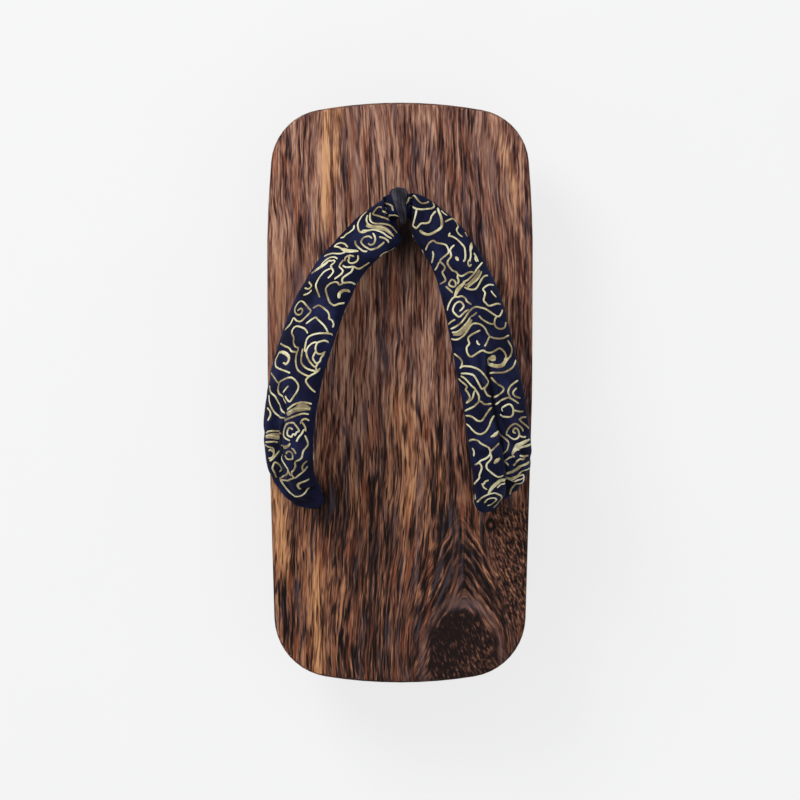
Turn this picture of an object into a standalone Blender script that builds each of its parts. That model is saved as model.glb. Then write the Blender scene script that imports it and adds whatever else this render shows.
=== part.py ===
"""A geta: a wooden sandal on two teeth, worn under a padded cloth strap and a toe loop.

Frame: +Z is up, +Y points to the toe, and +X is the right side seen from above with the toe ahead.
The origin is on the ground, below the middle of the board. All sizes are in metres.
"""

import math
from collections import namedtuple

import bmesh
import bpy
from mathutils import Vector

MM = 0.001

# The board, and the arcs of its outline seen from above
LENGTH = 265 * MM
WIDTH = 121.6 * MM
BOARD_THICKNESS = 18 * MM
WIDEST_FROM_TOE = 75 * MM
END_RADIUS = 210 * MM
TOE_CORNER_RADIUS = 26 * MM
HEEL_CORNER_RADIUS = 28 * MM
TOE_SIDE_RADIUS = 600 * MM
HEEL_SIDE_RADIUS = 3800 * MM
TOP_EDGE_RADIUS = 1.6 * MM

# The underside: two teeth carved from the same block, and ends thinned from below
TOOTH_HEIGHT = 28 * MM
TOOTH_LENGTH = 28 * MM
TOOTH_DRAFT = 1.2 * MM
TOOTH_ROOT_RADIUS = 4 * MM
TOOTH_FOOT_CHAMFER = 0.8 * MM
FRONT_TOOTH_BEHIND_RECESS = 5.5 * MM
REAR_TOOTH_BEHIND_HOLES = 5 * MM
END_THINNING = 6 * MM
END_THINNING_LENGTH = 26 * MM

# The three holes that carry the strap, by the places of their middles
HOLE_DIAMETER = 10 * MM
FRONT_HOLE_FROM_TOE = 48.1 * MM
REAR_HOLES_FROM_HEEL = 84.3 * MM
REAR_HOLES_FROM_SIDE = 21.3 * MM
RECESS_DIAMETER = 21 * MM
RECESS_DEPTH = 8 * MM

# The strap: one padded tube of cloth, pinched to a neck where the toe loop holds it
STRAP_WIDTH = 28 * MM
STRAP_THICKNESS = 13.5 * MM
STRAP_BOW = 24 * MM
NECK_WIDTH = 11 * MM
NECK_THICKNESS = 8.5 * MM
NECK_HEIGHT = 14 * MM
STRAP_ENTRY_HEIGHT = 3 * MM
STRAP_ENTRY_SWELL = 1 * MM
STRAP_END_IN_HOLE = 6 * MM
STRAP_ROUNDNESS = 0.86
FOLD_DEPTH = 4 * MM
FOLD_SPREAD = 2.8 * MM
FOLD_ACROSS = 0.2

# The toe loop, and the cords and knots under the board
LOOP_WALL = 2.2 * MM
LOOP_FRONT_WIDTH = 8.2 * MM
LOOP_BACK_WIDTH = 3.6 * MM
LOOP_STEM_TOP_DIAMETER = 6 * MM
CORD_DIAMETER = 5.6 * MM
FRONT_KNOT_HEIGHT = 9.5 * MM
FRONT_KNOT_FLATNESS = 0.6
REAR_KNOT_DIAMETER = 8.4 * MM
REAR_KNOT_LENGTH = 20 * MM
REAR_KNOT_WRAPS = 5

# Gaps between pieces: where one seats on another, round what fills a hole, inside the toe loop,
# and round the knot in its recess
SEAT_GAP = 0.3 * MM
HOLE_GAP = 0.5 * MM
LOOP_GAP = 0.6 * MM
RECESS_GAP = 2 * MM

# Fineness of the round shapes
OUTLINE_STEP = 4 * MM
EDGE_STEPS = 3
HOLE_SIDES = 32
STRAP_SIDES = 26
STRAP_STEPS = 3
LOOP_STEPS = 24
LOOP_SIDES = 12
KNOT_SIDES = 20
KNOT_STEPS = 12
WRAP_STEPS = 5
SHARP_ANGLE = 50
CUT_MARGIN = 10 * MM

# Places that follow from the sizes
BOARD_BOTTOM = TOOTH_HEIGHT
BOARD_TOP = TOOTH_HEIGHT + BOARD_THICKNESS
WIDEST_Y = LENGTH / 2 - WIDEST_FROM_TOE
FRONT_HOLE_Y = LENGTH / 2 - FRONT_HOLE_FROM_TOE
REAR_HOLE_Y = -LENGTH / 2 + REAR_HOLES_FROM_HEEL
REAR_HOLE_X = WIDTH / 2 - REAR_HOLES_FROM_SIDE
FILL_DIAMETER = HOLE_DIAMETER - 2 * HOLE_GAP
NECK_Z = BOARD_TOP + NECK_HEIGHT
NECK_HALF_LENGTH = LOOP_FRONT_WIDTH / 2 + LOOP_GAP
STRAP_END_Z = BOARD_TOP - STRAP_END_IN_HOLE
FRONT_KNOT_DIAMETER = RECESS_DIAMETER - 2 * RECESS_GAP
CORD_Z = BOARD_BOTTOM - SEAT_GAP - CORD_DIAMETER / 2
REAR_KNOT_Z = BOARD_BOTTOM - SEAT_GAP - REAR_KNOT_DIAMETER / 2

# One row for each section of a strap arm, from the toe loop's side to the rear hole.
#   along      share of the way from the front hole to the rear hole, along the board
#   aside      share of the way from the toe loop's side out to the rear hole, across the board
#   bow        height above the straight line from neck to hole, as a share of STRAP_BOW
#   width      share of the growth from NECK_WIDTH to STRAP_WIDTH
#   thickness  share of the growth from NECK_THICKNESS to STRAP_THICKNESS
#   turn       where the outer edge points, in degrees from straight ahead
#   roll       how far the outer edge is tipped down, in degrees
#   fold       depth of the lengthwise fold, as a share of FOLD_DEPTH
Section = namedtuple("Section", "along aside bow width thickness turn roll fold")

LEFT_ARM = (
    Section(0.019, 0.01, 0.00, 0.19, 0.2, 6, 8, 0.0),
    Section(0.038, 0.04, 0.00, 0.33, 0.4, 14, 12, 0.0),
    Section(0.066, 0.13, 0.04, 0.44, 0.6, 30, 20, 0.0),
    Section(0.103, 0.27, 0.10, 0.54, 0.8, 44, 28, 0.0),
    Section(0.170, 0.50, 0.22, 0.63, 0.9, 52, 34, 0.0),
    Section(0.225, 0.67, 0.34, 0.71, 1.0, 57, 36, 0.0),
    Section(0.285, 0.79, 0.46, 0.82, 1.0, 62, 37, 0.0),
    Section(0.347, 0.91, 0.59, 0.91, 1.0, 67, 38, 0.0),
    Section(0.450, 1.05, 0.76, 0.98, 1.0, 72, 39, 0.05),
    Section(0.571, 1.19, 0.93, 1.00, 1.0, 78, 40, 0.2),
    Section(0.674, 1.26, 1.01, 1.00, 1.0, 82, 41, 0.4),
    Section(0.755, 1.30, 1.01, 0.97, 1.0, 87, 42, 0.7),
    Section(0.825, 1.30, 0.94, 0.89, 1.0, 94, 42, 0.9),
    Section(0.893, 1.28, 0.80, 0.70, 1.0, 102, 38, 0.9),
    Section(0.946, 1.20, 0.59, 0.44, 0.9, 108, 28, 0.5),
    Section(0.983, 1.10, 0.36, 0.24, 0.8, 110, 12, 0.1),
)

RIGHT_ARM = (
    Section(0.009, 0.01, 0.00, 0.18, 0.2, 2, 4, 0.0),
    Section(0.018, 0.05, 0.01, 0.32, 0.4, 8, 6, 0.0),
    Section(0.036, 0.13, 0.04, 0.40, 0.6, 24, 9, 0.0),
    Section(0.068, 0.25, 0.08, 0.48, 0.8, 42, 12, 0.0),
    Section(0.133, 0.46, 0.22, 0.64, 1.0, 52, 15, 0.0),
    Section(0.207, 0.62, 0.37, 0.72, 1.0, 60, 16, 0.0),
    Section(0.324, 0.79, 0.60, 0.91, 1.0, 70, 15, 0.05),
    Section(0.433, 0.89, 0.77, 0.98, 1.0, 75, 13, 0.2),
    Section(0.546, 0.98, 0.93, 1.01, 1.0, 77, 11, 0.4),
    Section(0.644, 1.06, 1.02, 1.02, 1.0, 79, 10, 0.6),
    Section(0.746, 1.12, 1.06, 1.03, 1.0, 82, 10, 0.8),
    Section(0.833, 1.16, 1.01, 1.00, 1.0, 82, 10, 1.0),
    Section(0.900, 1.18, 0.88, 0.94, 1.0, 78, 9, 1.0),
    Section(0.953, 1.16, 0.66, 0.84, 0.9, 66, 6, 1.0),
    Section(0.987, 1.08, 0.39, 0.50, 0.8, 56, 2, 0.6),
)

# What one section of the strap's sweep needs, in metres and degrees
Place = namedtuple("Place", "centre width thickness turn roll fold")


def clear_scene():
    """Remove every object, so that only this model is in the scene."""
    for obj in list(bpy.data.objects):
        bpy.data.objects.remove(obj)


def make_material(name, colour, roughness):
    """A plain finish for one kind of piece."""
    material = bpy.data.materials.new(name)
    material.use_nodes = True
    shader = material.node_tree.nodes["Principled BSDF"]
    shader.inputs["Base Color"].default_value = (*colour, 1.0)
    shader.inputs["Roughness"].default_value = roughness
    shader.inputs["Metallic"].default_value = 0.0
    return material


def make_object(name, mesh_edit, material=None):
    """A smooth-shaded object from a finished bmesh."""
    mesh = bpy.data.meshes.new(name)
    mesh_edit.to_mesh(mesh)
    mesh_edit.free()
    mesh.shade_smooth()
    mesh.set_sharp_from_angle(angle=math.radians(SHARP_ANGLE))
    obj = bpy.data.objects.new(name, mesh)
    bpy.context.scene.collection.objects.link(obj)
    if material:
        mesh.materials.append(material)
    return obj


def loft(loops, closed=False):
    """A bmesh skin over loops of equal length, capped at both ends unless it is closed on itself."""
    edit = bmesh.new()
    rings = [[edit.verts.new(point) for point in loop] for loop in loops]
    pairs = list(zip(rings, rings[1:]))
    if closed:
        pairs.append((rings[-1], rings[0]))
    for lower, upper in pairs:
        for i in range(len(lower)):
            j = (i + 1) % len(lower)
            edit.faces.new((lower[i], lower[j], upper[j], upper[i]))
    if not closed:
        edit.faces.new(list(reversed(rings[0])))
        edit.faces.new(rings[-1])
    bmesh.ops.recalc_face_normals(edit, faces=edit.faces)
    return edit


def turned(profile, axis, centre, sides):
    """A turned solid about the X or the Z axis through centre, from (distance along it, radius) pairs."""
    loops = []
    for distance, radius in profile:
        loop = []
        for i in range(sides):
            angle = 2 * math.pi * i / sides
            u = radius * math.cos(angle)
            v = radius * math.sin(angle)
            offset = (distance, u, v) if axis == "X" else (u, v, distance)
            loop.append(Vector(centre) + Vector(offset))
        loops.append(loop)
    return loft(loops)


def boolean(obj, other, operation):
    """Cut, join or trim obj with another object, which is then only a guide."""
    modifier = obj.modifiers.new(operation.title(), "BOOLEAN")
    modifier.operation = operation
    modifier.object = other
    other.hide_render = True
    other.display_type = "WIRE"


def arc(centre, radius, start, end, step, inset=0):
    """Points about a step apart on an arc from angle start up to, but not including, angle end, in radians.

    An inset brings them nearer to the centre and keeps their number.
    """
    count = max(2, round(abs(end - start) * radius / step))
    angles = [start + (end - start) * i / count for i in range(count)]
    reach = radius - inset
    return [(centre[0] + reach * math.cos(a), centre[1] + reach * math.sin(a)) for a in angles]


def quarter_arcs(toe, side_radius, corner_radius, inset):
    """The board's right-hand outline, as a side, a corner and an end arc, from the widest point to one end.

    toe is +1 for the toe half and -1 for the heel half. Each arc keeps its centre as the outline is inset.
    """
    side_centre = Vector((WIDTH / 2 - side_radius, WIDEST_Y))
    end_centre = Vector((0, toe * (LENGTH / 2 - END_RADIUS)))
    # The corner's centre lies this far from the two centres, so the arcs run into each other.
    to_side = side_radius - corner_radius
    to_end = END_RADIUS - corner_radius
    between = end_centre - side_centre
    foot = (to_side**2 - to_end**2 + between.length**2) / (2 * between.length)
    reach = math.sqrt(to_side**2 - foot**2)
    along = between.normalized()
    across = Vector((-along.y, along.x)) * toe
    corner_centre = side_centre + along * foot + across * reach
    meets_side = corner_centre - side_centre
    meets_end = corner_centre - end_centre
    side_angle = math.atan2(meets_side.y, meets_side.x)
    end_angle = math.atan2(meets_end.y, meets_end.x)
    points = arc(side_centre, side_radius, 0, side_angle, 3 * OUTLINE_STEP, inset)
    points += arc(corner_centre, corner_radius, side_angle, end_angle, OUTLINE_STEP, inset)
    points += arc(end_centre, END_RADIUS, end_angle, toe * math.pi / 2, 2 * OUTLINE_STEP, inset)
    points.append((0, toe * (LENGTH / 2 - inset)))
    return points


def board_outline(inset):
    """The whole outline of the board, anticlockwise from the widest point on the right."""
    toe = quarter_arcs(1, TOE_SIDE_RADIUS, TOE_CORNER_RADIUS, inset)
    heel = quarter_arcs(-1, HEEL_SIDE_RADIUS, HEEL_CORNER_RADIUS, inset)
    right = list(reversed(heel)) + toe[1:]
    left = [(-x, y) for x, y in reversed(right[1:-1])]
    return right + left


def plan_block(material):
    """The block seen from above: the board's outline, from below the ground to the rounded top edge."""
    loops = [[(x, y, -CUT_MARGIN) for x, y in board_outline(0)]]
    for i in range(EDGE_STEPS + 1):
        angle = math.pi / 2 * i / EDGE_STEPS
        inset = TOP_EDGE_RADIUS * (1 - math.cos(angle))
        z = BOARD_TOP - TOP_EDGE_RADIUS * (1 - math.sin(angle))
        loops.append([(x, y, z) for x, y in board_outline(inset)])
    return make_object("wooden_base", loft(loops), material)


def tooth_profile(front_face):
    """One tooth from back root to front root, as (y, z) pairs, with round roots and chamfered feet."""
    back_face = front_face - TOOTH_LENGTH
    root = TOOTH_ROOT_RADIUS
    back_root = arc((back_face - root, BOARD_BOTTOM - root), root, math.pi / 2, 0, root / 4)
    front_root = arc((front_face + root, BOARD_BOTTOM - root), root, math.pi, math.pi / 2, root / 4)
    feet = [
        (back_face, BOARD_BOTTOM - root),
        (back_face + TOOTH_DRAFT, TOOTH_FOOT_CHAMFER),
        (back_face + TOOTH_DRAFT + TOOTH_FOOT_CHAMFER, 0),
        (front_face - TOOTH_DRAFT - TOOTH_FOOT_CHAMFER, 0),
        (front_face - TOOTH_DRAFT, TOOTH_FOOT_CHAMFER),
    ]
    return back_root + feet + front_root + [(front_face + root, BOARD_BOTTOM)]


def end_profile(toe):
    """The underside near one end, as (y, z) pairs from the flat part out past the end: a curve that rises."""
    end_y = LENGTH / 2
    start_y = end_y - END_THINNING_LENGTH
    points = []
    steps = 6
    for i in range(steps + 1):
        share = i / steps
        y = start_y + END_THINNING_LENGTH * share
        points.append((toe * y, BOARD_BOTTOM + END_THINNING * share**2))
    points.append((toe * (end_y + CUT_MARGIN), BOARD_BOTTOM + END_THINNING))
    return points


def side_block():
    """The block seen from the side: it trims the plan block to the teeth and the thinned ends."""
    profile = list(reversed(end_profile(-1)))
    profile += tooth_profile(REAR_HOLE_Y - HOLE_DIAMETER / 2 - REAR_TOOTH_BEHIND_HOLES)
    profile += tooth_profile(FRONT_HOLE_Y - RECESS_DIAMETER / 2 - FRONT_TOOTH_BEHIND_RECESS)
    profile += end_profile(1)
    top = BOARD_TOP + CUT_MARGIN
    profile += [(LENGTH / 2 + CUT_MARGIN, top), (-LENGTH / 2 - CUT_MARGIN, top)]
    half = WIDTH / 2 + CUT_MARGIN
    return make_object("side_guide", loft([[(x, y, z) for y, z in profile] for x in (-half, half)]))


def hole_cutter(name, x, y, diameter, low, high):
    """A round cutter standing at (x, y)."""
    radius = diameter / 2
    return make_object(name, turned([(low, radius), (high, radius)], "Z", (x, y, 0), HOLE_SIDES))


def make_base(material):
    """The board and its two teeth: one carved block, with three holes and a recess for the front knot."""
    base = plan_block(material)
    boolean(base, side_block(), "INTERSECT")
    low = BOARD_BOTTOM - CUT_MARGIN
    high = BOARD_TOP + CUT_MARGIN
    cutters = [
        hole_cutter("front_hole", 0, FRONT_HOLE_Y, HOLE_DIAMETER, low, high),
        hole_cutter("left_hole", -REAR_HOLE_X, REAR_HOLE_Y, HOLE_DIAMETER, low, high),
        hole_cutter("right_hole", REAR_HOLE_X, REAR_HOLE_Y, HOLE_DIAMETER, low, high),
        hole_cutter("knot_recess", 0, FRONT_HOLE_Y, RECESS_DIAMETER, low, BOARD_BOTTOM + RECESS_DEPTH),
    ]
    for cutter in cutters:
        boolean(base, cutter, "DIFFERENCE")
    return base


def arm_places(rows, side):
    """The places of one arm's sections, from just outside the neck to the strap's end in the hole.

    side is -1 for the left arm and +1 for the right one.
    """
    places = []
    for row in rows:
        x = NECK_HALF_LENGTH + row.aside * (REAR_HOLE_X - NECK_HALF_LENGTH)
        y = FRONT_HOLE_Y + row.along * (REAR_HOLE_Y - FRONT_HOLE_Y)
        z = BOARD_TOP + NECK_HEIGHT * (1 - row.along) + STRAP_BOW * row.bow
        width = NECK_WIDTH + row.width * (STRAP_WIDTH - NECK_WIDTH)
        thickness = NECK_THICKNESS + row.thickness * (STRAP_THICKNESS - NECK_THICKNESS)
        centre = Vector((side * x, y, z))
        places.append(Place(centre, width, thickness, row.turn, row.roll, row.fold * FOLD_DEPTH))
    entry = (
        (STRAP_ENTRY_HEIGHT, FILL_DIAMETER + STRAP_ENTRY_SWELL),
        (-HOLE_GAP, FILL_DIAMETER),
        (-STRAP_END_IN_HOLE, FILL_DIAMETER),
    )
    for height, diameter in entry:
        centre = Vector((side * REAR_HOLE_X, REAR_HOLE_Y, BOARD_TOP + height))
        places.append(Place(centre, diameter, diameter, rows[-1].turn, 0, 0))
    return places


def between(values, share):
    """The smooth curve through four values, at a share of the way from the second to the third."""
    before, start, end, after = values
    square = share * share
    cube = square * share
    return 0.5 * (
        2 * start
        + (end - before) * share
        + (2 * before - 5 * start + 4 * end - after) * square
        + (3 * start - before - 3 * end + after) * cube
    )


def smoothed(places, steps):
    """Places with steps - 1 more between each two, on a smooth curve through them all."""
    padded = [places[0], *places, places[-1]]
    result = []
    for i in range(len(places) - 1):
        around = padded[i : i + 4]
        for step in range(steps):
            result.append(Place(*(between(column, step / steps) for column in zip(*around))))
    return result + [places[-1]]


def power(value, exponent):
    """value to a power, keeping its sign."""
    return math.copysign(abs(value) ** exponent, value)


def strap_section(place, direction, side):
    """The loop of points around one section of the strap.

    direction runs along the strap from the left hole to the right one. The outer edge is the side that faces
    away from the foot. The upper face carries the lengthwise fold.
    """
    heading = math.radians(place.turn)
    outward = Vector((side * math.sin(heading), math.cos(heading), 0))
    upward = direction.cross(outward).normalized()
    tip = math.radians(place.roll)
    across = outward * math.cos(tip) - upward * math.sin(tip)
    normal = upward * math.cos(tip) + outward * math.sin(tip)
    loop = []
    for i in range(STRAP_SIDES):
        angle = 2 * math.pi * i / STRAP_SIDES
        a = place.width / 2 * power(math.cos(angle), STRAP_ROUNDNESS)
        b = place.thickness / 2 * power(math.sin(angle), STRAP_ROUNDNESS)
        if b > 0:
            from_fold = (a - FOLD_ACROSS * place.width / 2) / FOLD_SPREAD
            b -= place.fold * math.exp(-(from_fold**2))
        loop.append(place.centre + across * a + normal * b)
    return loop


def make_strap(material):
    """Both arms and the neck between them: one padded tube from the left hole to the right one."""
    neck = []
    for x in (-NECK_HALF_LENGTH, 0, NECK_HALF_LENGTH):
        neck.append(Place(Vector((x, FRONT_HOLE_Y, NECK_Z)), NECK_WIDTH, NECK_THICKNESS, 0, 0, 0))
    left = list(reversed(arm_places(LEFT_ARM, -1)))
    right = arm_places(RIGHT_ARM, 1)
    places = smoothed(left + neck + right, STRAP_STEPS)
    middle = (len(left) + 1) * STRAP_STEPS
    loops = []
    for i, place in enumerate(places):
        before = places[max(i - 1, 0)].centre
        after = places[min(i + 1, len(places) - 1)].centre
        side = -1 if i < middle else 1
        loops.append(strap_section(place, (after - before).normalized(), side))
    return make_object("strap", loft(loops), material)


def make_toe_loop(material):
    """The toe loop: a band round the strap's neck, on a stem that goes down through the front hole."""
    depth = NECK_WIDTH / 2 + LOOP_GAP + LOOP_WALL / 2
    height = NECK_THICKNESS / 2 + LOOP_GAP + LOOP_WALL / 2
    loops = []
    for i in range(LOOP_STEPS):
        angle = 2 * math.pi * i / LOOP_STEPS
        outward = Vector((0, math.cos(angle), math.sin(angle)))
        centre = Vector((0, FRONT_HOLE_Y + depth * math.cos(angle), NECK_Z + height * math.sin(angle)))
        front_share = (1 + math.cos(angle)) / 2
        half_width = (LOOP_BACK_WIDTH + (LOOP_FRONT_WIDTH - LOOP_BACK_WIDTH) * front_share) / 2
        loop = []
        for j in range(LOOP_SIDES):
            turn = 2 * math.pi * j / LOOP_SIDES
            sideways = Vector((half_width * math.cos(turn), 0, 0))
            loop.append(centre + sideways + outward * (LOOP_WALL / 2 * math.sin(turn)))
        loops.append(loop)
    band = make_object("toe_loop", loft(loops, closed=True), material)

    radius = FILL_DIAMETER / 2
    top_radius = LOOP_STEM_TOP_DIAMETER / 2
    stem_top = NECK_Z - height
    profile = [
        (BOARD_BOTTOM + RECESS_DEPTH, radius),
        (BOARD_TOP, radius),
        ((BOARD_TOP + stem_top) / 2, (radius + top_radius) / 2),
        (stem_top, top_radius),
    ]
    stem = make_object("stem", turned(profile, "Z", (0, FRONT_HOLE_Y, 0), HOLE_SIDES))
    boolean(band, stem, "UNION")
    return band


def make_front_knot(material):
    """The knot in the recess, too wide to pull up through the front hole."""
    top = BOARD_BOTTOM + RECESS_DEPTH - SEAT_GAP
    profile = []
    for i in range(1, KNOT_STEPS):
        angle = math.pi * i / KNOT_STEPS
        radius = FRONT_KNOT_DIAMETER / 2 * math.sin(angle) ** FRONT_KNOT_FLATNESS
        share = (math.cos(angle) / math.cos(math.pi / KNOT_STEPS) + 1) / 2
        profile.append((top - FRONT_KNOT_HEIGHT * share, radius))
    return make_object("front_knot", turned(profile, "Z", (0, FRONT_HOLE_Y, 0), KNOT_SIDES), material)


def make_rear_cord(name, side, material):
    """One rear cord: down its hole from the strap's end, round the hole's edge and along to the knot."""
    bend = HOLE_DIAMETER / 2
    points = [(side * REAR_HOLE_X, REAR_HOLE_Y, STRAP_END_Z - SEAT_GAP)]
    for x, z in arc((REAR_HOLE_X - bend, CORD_Z + bend), bend, 0, -math.pi / 2, bend / 5):
        points.append((side * x, REAR_HOLE_Y, z))
    points.append((side * (REAR_HOLE_X - bend), REAR_HOLE_Y, CORD_Z))
    points.append((side * (REAR_KNOT_LENGTH / 2 + SEAT_GAP), REAR_HOLE_Y, CORD_Z))
    curve = bpy.data.curves.new(name, "CURVE")
    curve.dimensions = "3D"
    curve.bevel_depth = CORD_DIAMETER / 2
    curve.bevel_resolution = 3
    curve.use_fill_caps = True
    spline = curve.splines.new("POLY")
    spline.points.add(len(points) - 1)
    for target, point in zip(spline.points, points):
        target.co = (*point, 1)
    curve.materials.append(material)
    obj = bpy.data.objects.new(name, curve)
    bpy.context.scene.collection.objects.link(obj)
    return obj


def make_rear_knot(material):
    """The tie between the two rear cords: their tails wound round and round."""
    wrap = REAR_KNOT_LENGTH / REAR_KNOT_WRAPS
    core = (REAR_KNOT_DIAMETER - wrap) / 2
    profile = []
    for i in range(REAR_KNOT_WRAPS):
        for j in range(WRAP_STEPS):
            share = (j + 0.5) / WRAP_STEPS
            radius = core + wrap / 2 * math.sqrt(1 - (2 * share - 1) ** 2)
            profile.append((-REAR_KNOT_LENGTH / 2 + (i + share) * wrap, radius))
    return make_object("rear_knot", turned(profile, "X", (0, REAR_HOLE_Y, REAR_KNOT_Z), KNOT_SIDES), material)


def main():
    clear_scene()
    wood = make_material("scorched_wood", (0.115, 0.055, 0.032), 0.62)
    cloth = make_material("cloud_cloth", (0.022, 0.024, 0.06), 0.8)
    black_cloth = make_material("black_cloth", (0.012, 0.013, 0.018), 0.85)
    cord = make_material("black_cord", (0.014, 0.014, 0.016), 0.9)
    make_base(wood)
    make_strap(cloth)
    make_toe_loop(black_cloth)
    make_front_knot(cord)
    make_rear_cord("rear_cord_left", -1, cord)
    make_rear_cord("rear_cord_right", 1, cord)
    make_rear_knot(cord)


main()
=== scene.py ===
import math
import random
from collections import namedtuple

import bmesh
import bpy
import numpy as np
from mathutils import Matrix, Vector, noise


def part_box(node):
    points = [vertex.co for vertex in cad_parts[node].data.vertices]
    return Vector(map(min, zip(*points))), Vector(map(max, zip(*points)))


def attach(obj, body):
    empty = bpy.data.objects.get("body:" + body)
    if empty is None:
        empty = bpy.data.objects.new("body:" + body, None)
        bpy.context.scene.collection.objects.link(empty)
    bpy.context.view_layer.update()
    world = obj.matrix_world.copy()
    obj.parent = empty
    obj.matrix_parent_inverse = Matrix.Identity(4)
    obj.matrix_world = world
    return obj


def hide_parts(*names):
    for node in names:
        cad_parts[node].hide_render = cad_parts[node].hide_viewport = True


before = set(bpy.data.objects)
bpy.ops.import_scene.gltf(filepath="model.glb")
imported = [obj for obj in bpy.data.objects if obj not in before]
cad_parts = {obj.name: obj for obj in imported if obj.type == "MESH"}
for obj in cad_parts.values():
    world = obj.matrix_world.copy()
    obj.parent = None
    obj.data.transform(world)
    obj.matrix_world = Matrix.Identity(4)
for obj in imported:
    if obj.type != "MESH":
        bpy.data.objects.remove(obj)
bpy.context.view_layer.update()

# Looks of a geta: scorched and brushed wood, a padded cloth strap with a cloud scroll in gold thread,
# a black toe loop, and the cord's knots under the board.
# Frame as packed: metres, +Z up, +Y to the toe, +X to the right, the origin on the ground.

MM = 0.001
TURN = 2 * math.pi
UV_PER_METRE = 10
RNG = random.Random(20)

# Twisted cord: its strands, the length of one turn in diameters, its facets, and the width of cut ends
STRANDS = 3
LAY = 3.2
CORD_SIDES = 24
CUT_END_DIAMETER = 3.8 * MM

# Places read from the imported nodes
BASE_LOW, BASE_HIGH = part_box("wooden_base")
FRONT_KNOT_LOW, FRONT_KNOT_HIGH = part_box("front_knot")
REAR_KNOT_LOW, REAR_KNOT_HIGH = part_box("rear_knot")
BOARD_TOP = BASE_HIGH.z
FRONT_HOLE_Y = (FRONT_KNOT_LOW.y + FRONT_KNOT_HIGH.y) / 2
REAR_HOLE_Y = (REAR_KNOT_LOW.y + REAR_KNOT_HIGH.y) / 2

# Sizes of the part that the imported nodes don't give by themselves
TOOTH_HEIGHT = 28 * MM
REAR_HOLE_X = 39.5 * MM
HOLE_DIAMETER = 10 * MM
FILL_DIAMETER = 9 * MM
HOLE_GAP = 0.5 * MM
STRAP_WIDTH = 28 * MM
STRAP_THICKNESS = 13.5 * MM
STRAP_BOW = 24 * MM
NECK_WIDTH = 11 * MM
NECK_THICKNESS = 8.5 * MM
NECK_HEIGHT = 14 * MM
NECK_HALF_LENGTH = 4.7 * MM
STRAP_ENTRY_HEIGHT = 3 * MM
STRAP_ENTRY_SWELL = 1 * MM
STRAP_END_IN_HOLE = 6 * MM
STRAP_ROUNDNESS = 0.86
FOLD_DEPTH = 4 * MM
FOLD_SPREAD = 2.8 * MM
FOLD_ACROSS = 0.2
LOOP_WALL = 2.2 * MM
LOOP_GAP = 0.6 * MM
LOOP_FRONT_WIDTH = 8.2 * MM
LOOP_BACK_WIDTH = 3.6 * MM
LOOP_STEM_TOP_DIAMETER = 6 * MM
STEM_ROUND = 28 * MM
RECESS_DEPTH = 8 * MM
CORD_DIAMETER = 5.6 * MM
SEAT_GAP = 0.3 * MM

# One row for each section of a strap arm, from the toe loop's side to the rear hole, as in the part
Section = namedtuple("Section", "along aside bow width thickness turn roll fold")
LEFT_ARM = (
    (0.019, 0.01, 0.00, 0.19, 0.2, 6, 8, 0.0),
    (0.038, 0.04, 0.00, 0.33, 0.4, 14, 12, 0.0),
    (0.066, 0.13, 0.04, 0.44, 0.6, 30, 20, 0.0),
    (0.103, 0.27, 0.10, 0.54, 0.8, 44, 28, 0.0),
    (0.170, 0.50, 0.22, 0.63, 0.9, 52, 34, 0.0),
    (0.225, 0.67, 0.34, 0.71, 1.0, 57, 36, 0.0),
    (0.285, 0.79, 0.46, 0.82, 1.0, 62, 37, 0.0),
    (0.347, 0.91, 0.59, 0.91, 1.0, 67, 38, 0.0),
    (0.450, 1.05, 0.76, 0.98, 1.0, 72, 39, 0.05),
    (0.571, 1.19, 0.93, 1.00, 1.0, 78, 40, 0.2),
    (0.674, 1.26, 1.01, 1.00, 1.0, 82, 41, 0.4),
    (0.755, 1.30, 1.01, 0.97, 1.0, 87, 42, 0.7),
    (0.825, 1.30, 0.94, 0.89, 1.0, 94, 42, 0.9),
    (0.893, 1.28, 0.80, 0.70, 1.0, 102, 38, 0.9),
    (0.946, 1.20, 0.59, 0.44, 0.9, 108, 28, 0.5),
    (0.983, 1.10, 0.36, 0.24, 0.8, 110, 12, 0.1),
)
RIGHT_ARM = (
    (0.009, 0.01, 0.00, 0.18, 0.2, 2, 4, 0.0),
    (0.018, 0.05, 0.01, 0.32, 0.4, 8, 6, 0.0),
    (0.036, 0.13, 0.04, 0.40, 0.6, 24, 9, 0.0),
    (0.068, 0.25, 0.08, 0.48, 0.8, 42, 12, 0.0),
    (0.133, 0.46, 0.22, 0.64, 1.0, 52, 15, 0.0),
    (0.207, 0.62, 0.37, 0.72, 1.0, 60, 16, 0.0),
    (0.324, 0.79, 0.60, 0.91, 1.0, 70, 15, 0.05),
    (0.433, 0.89, 0.77, 0.98, 1.0, 75, 13, 0.2),
    (0.546, 0.98, 0.93, 1.01, 1.0, 77, 11, 0.4),
    (0.644, 1.06, 1.02, 1.02, 1.0, 79, 10, 0.6),
    (0.746, 1.12, 1.06, 1.03, 1.0, 82, 10, 0.8),
    (0.833, 1.16, 1.01, 1.00, 1.0, 82, 10, 1.0),
    (0.900, 1.18, 0.88, 0.94, 1.0, 78, 9, 1.0),
    (0.953, 1.16, 0.66, 0.84, 0.9, 66, 6, 1.0),
    (0.987, 1.08, 0.39, 0.50, 0.8, 56, 2, 0.6),
)

# Fineness of the strap's skin, of the lines of thread and of the wood's top
STRAP_STEP = 0.8 * MM
STRAP_SIDES = 96
THREAD_STEP = 0.45 * MM
BOARD_CELL_ACROSS = 1.1 * MM
BOARD_CELL_ALONG = 3.5 * MM

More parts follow.
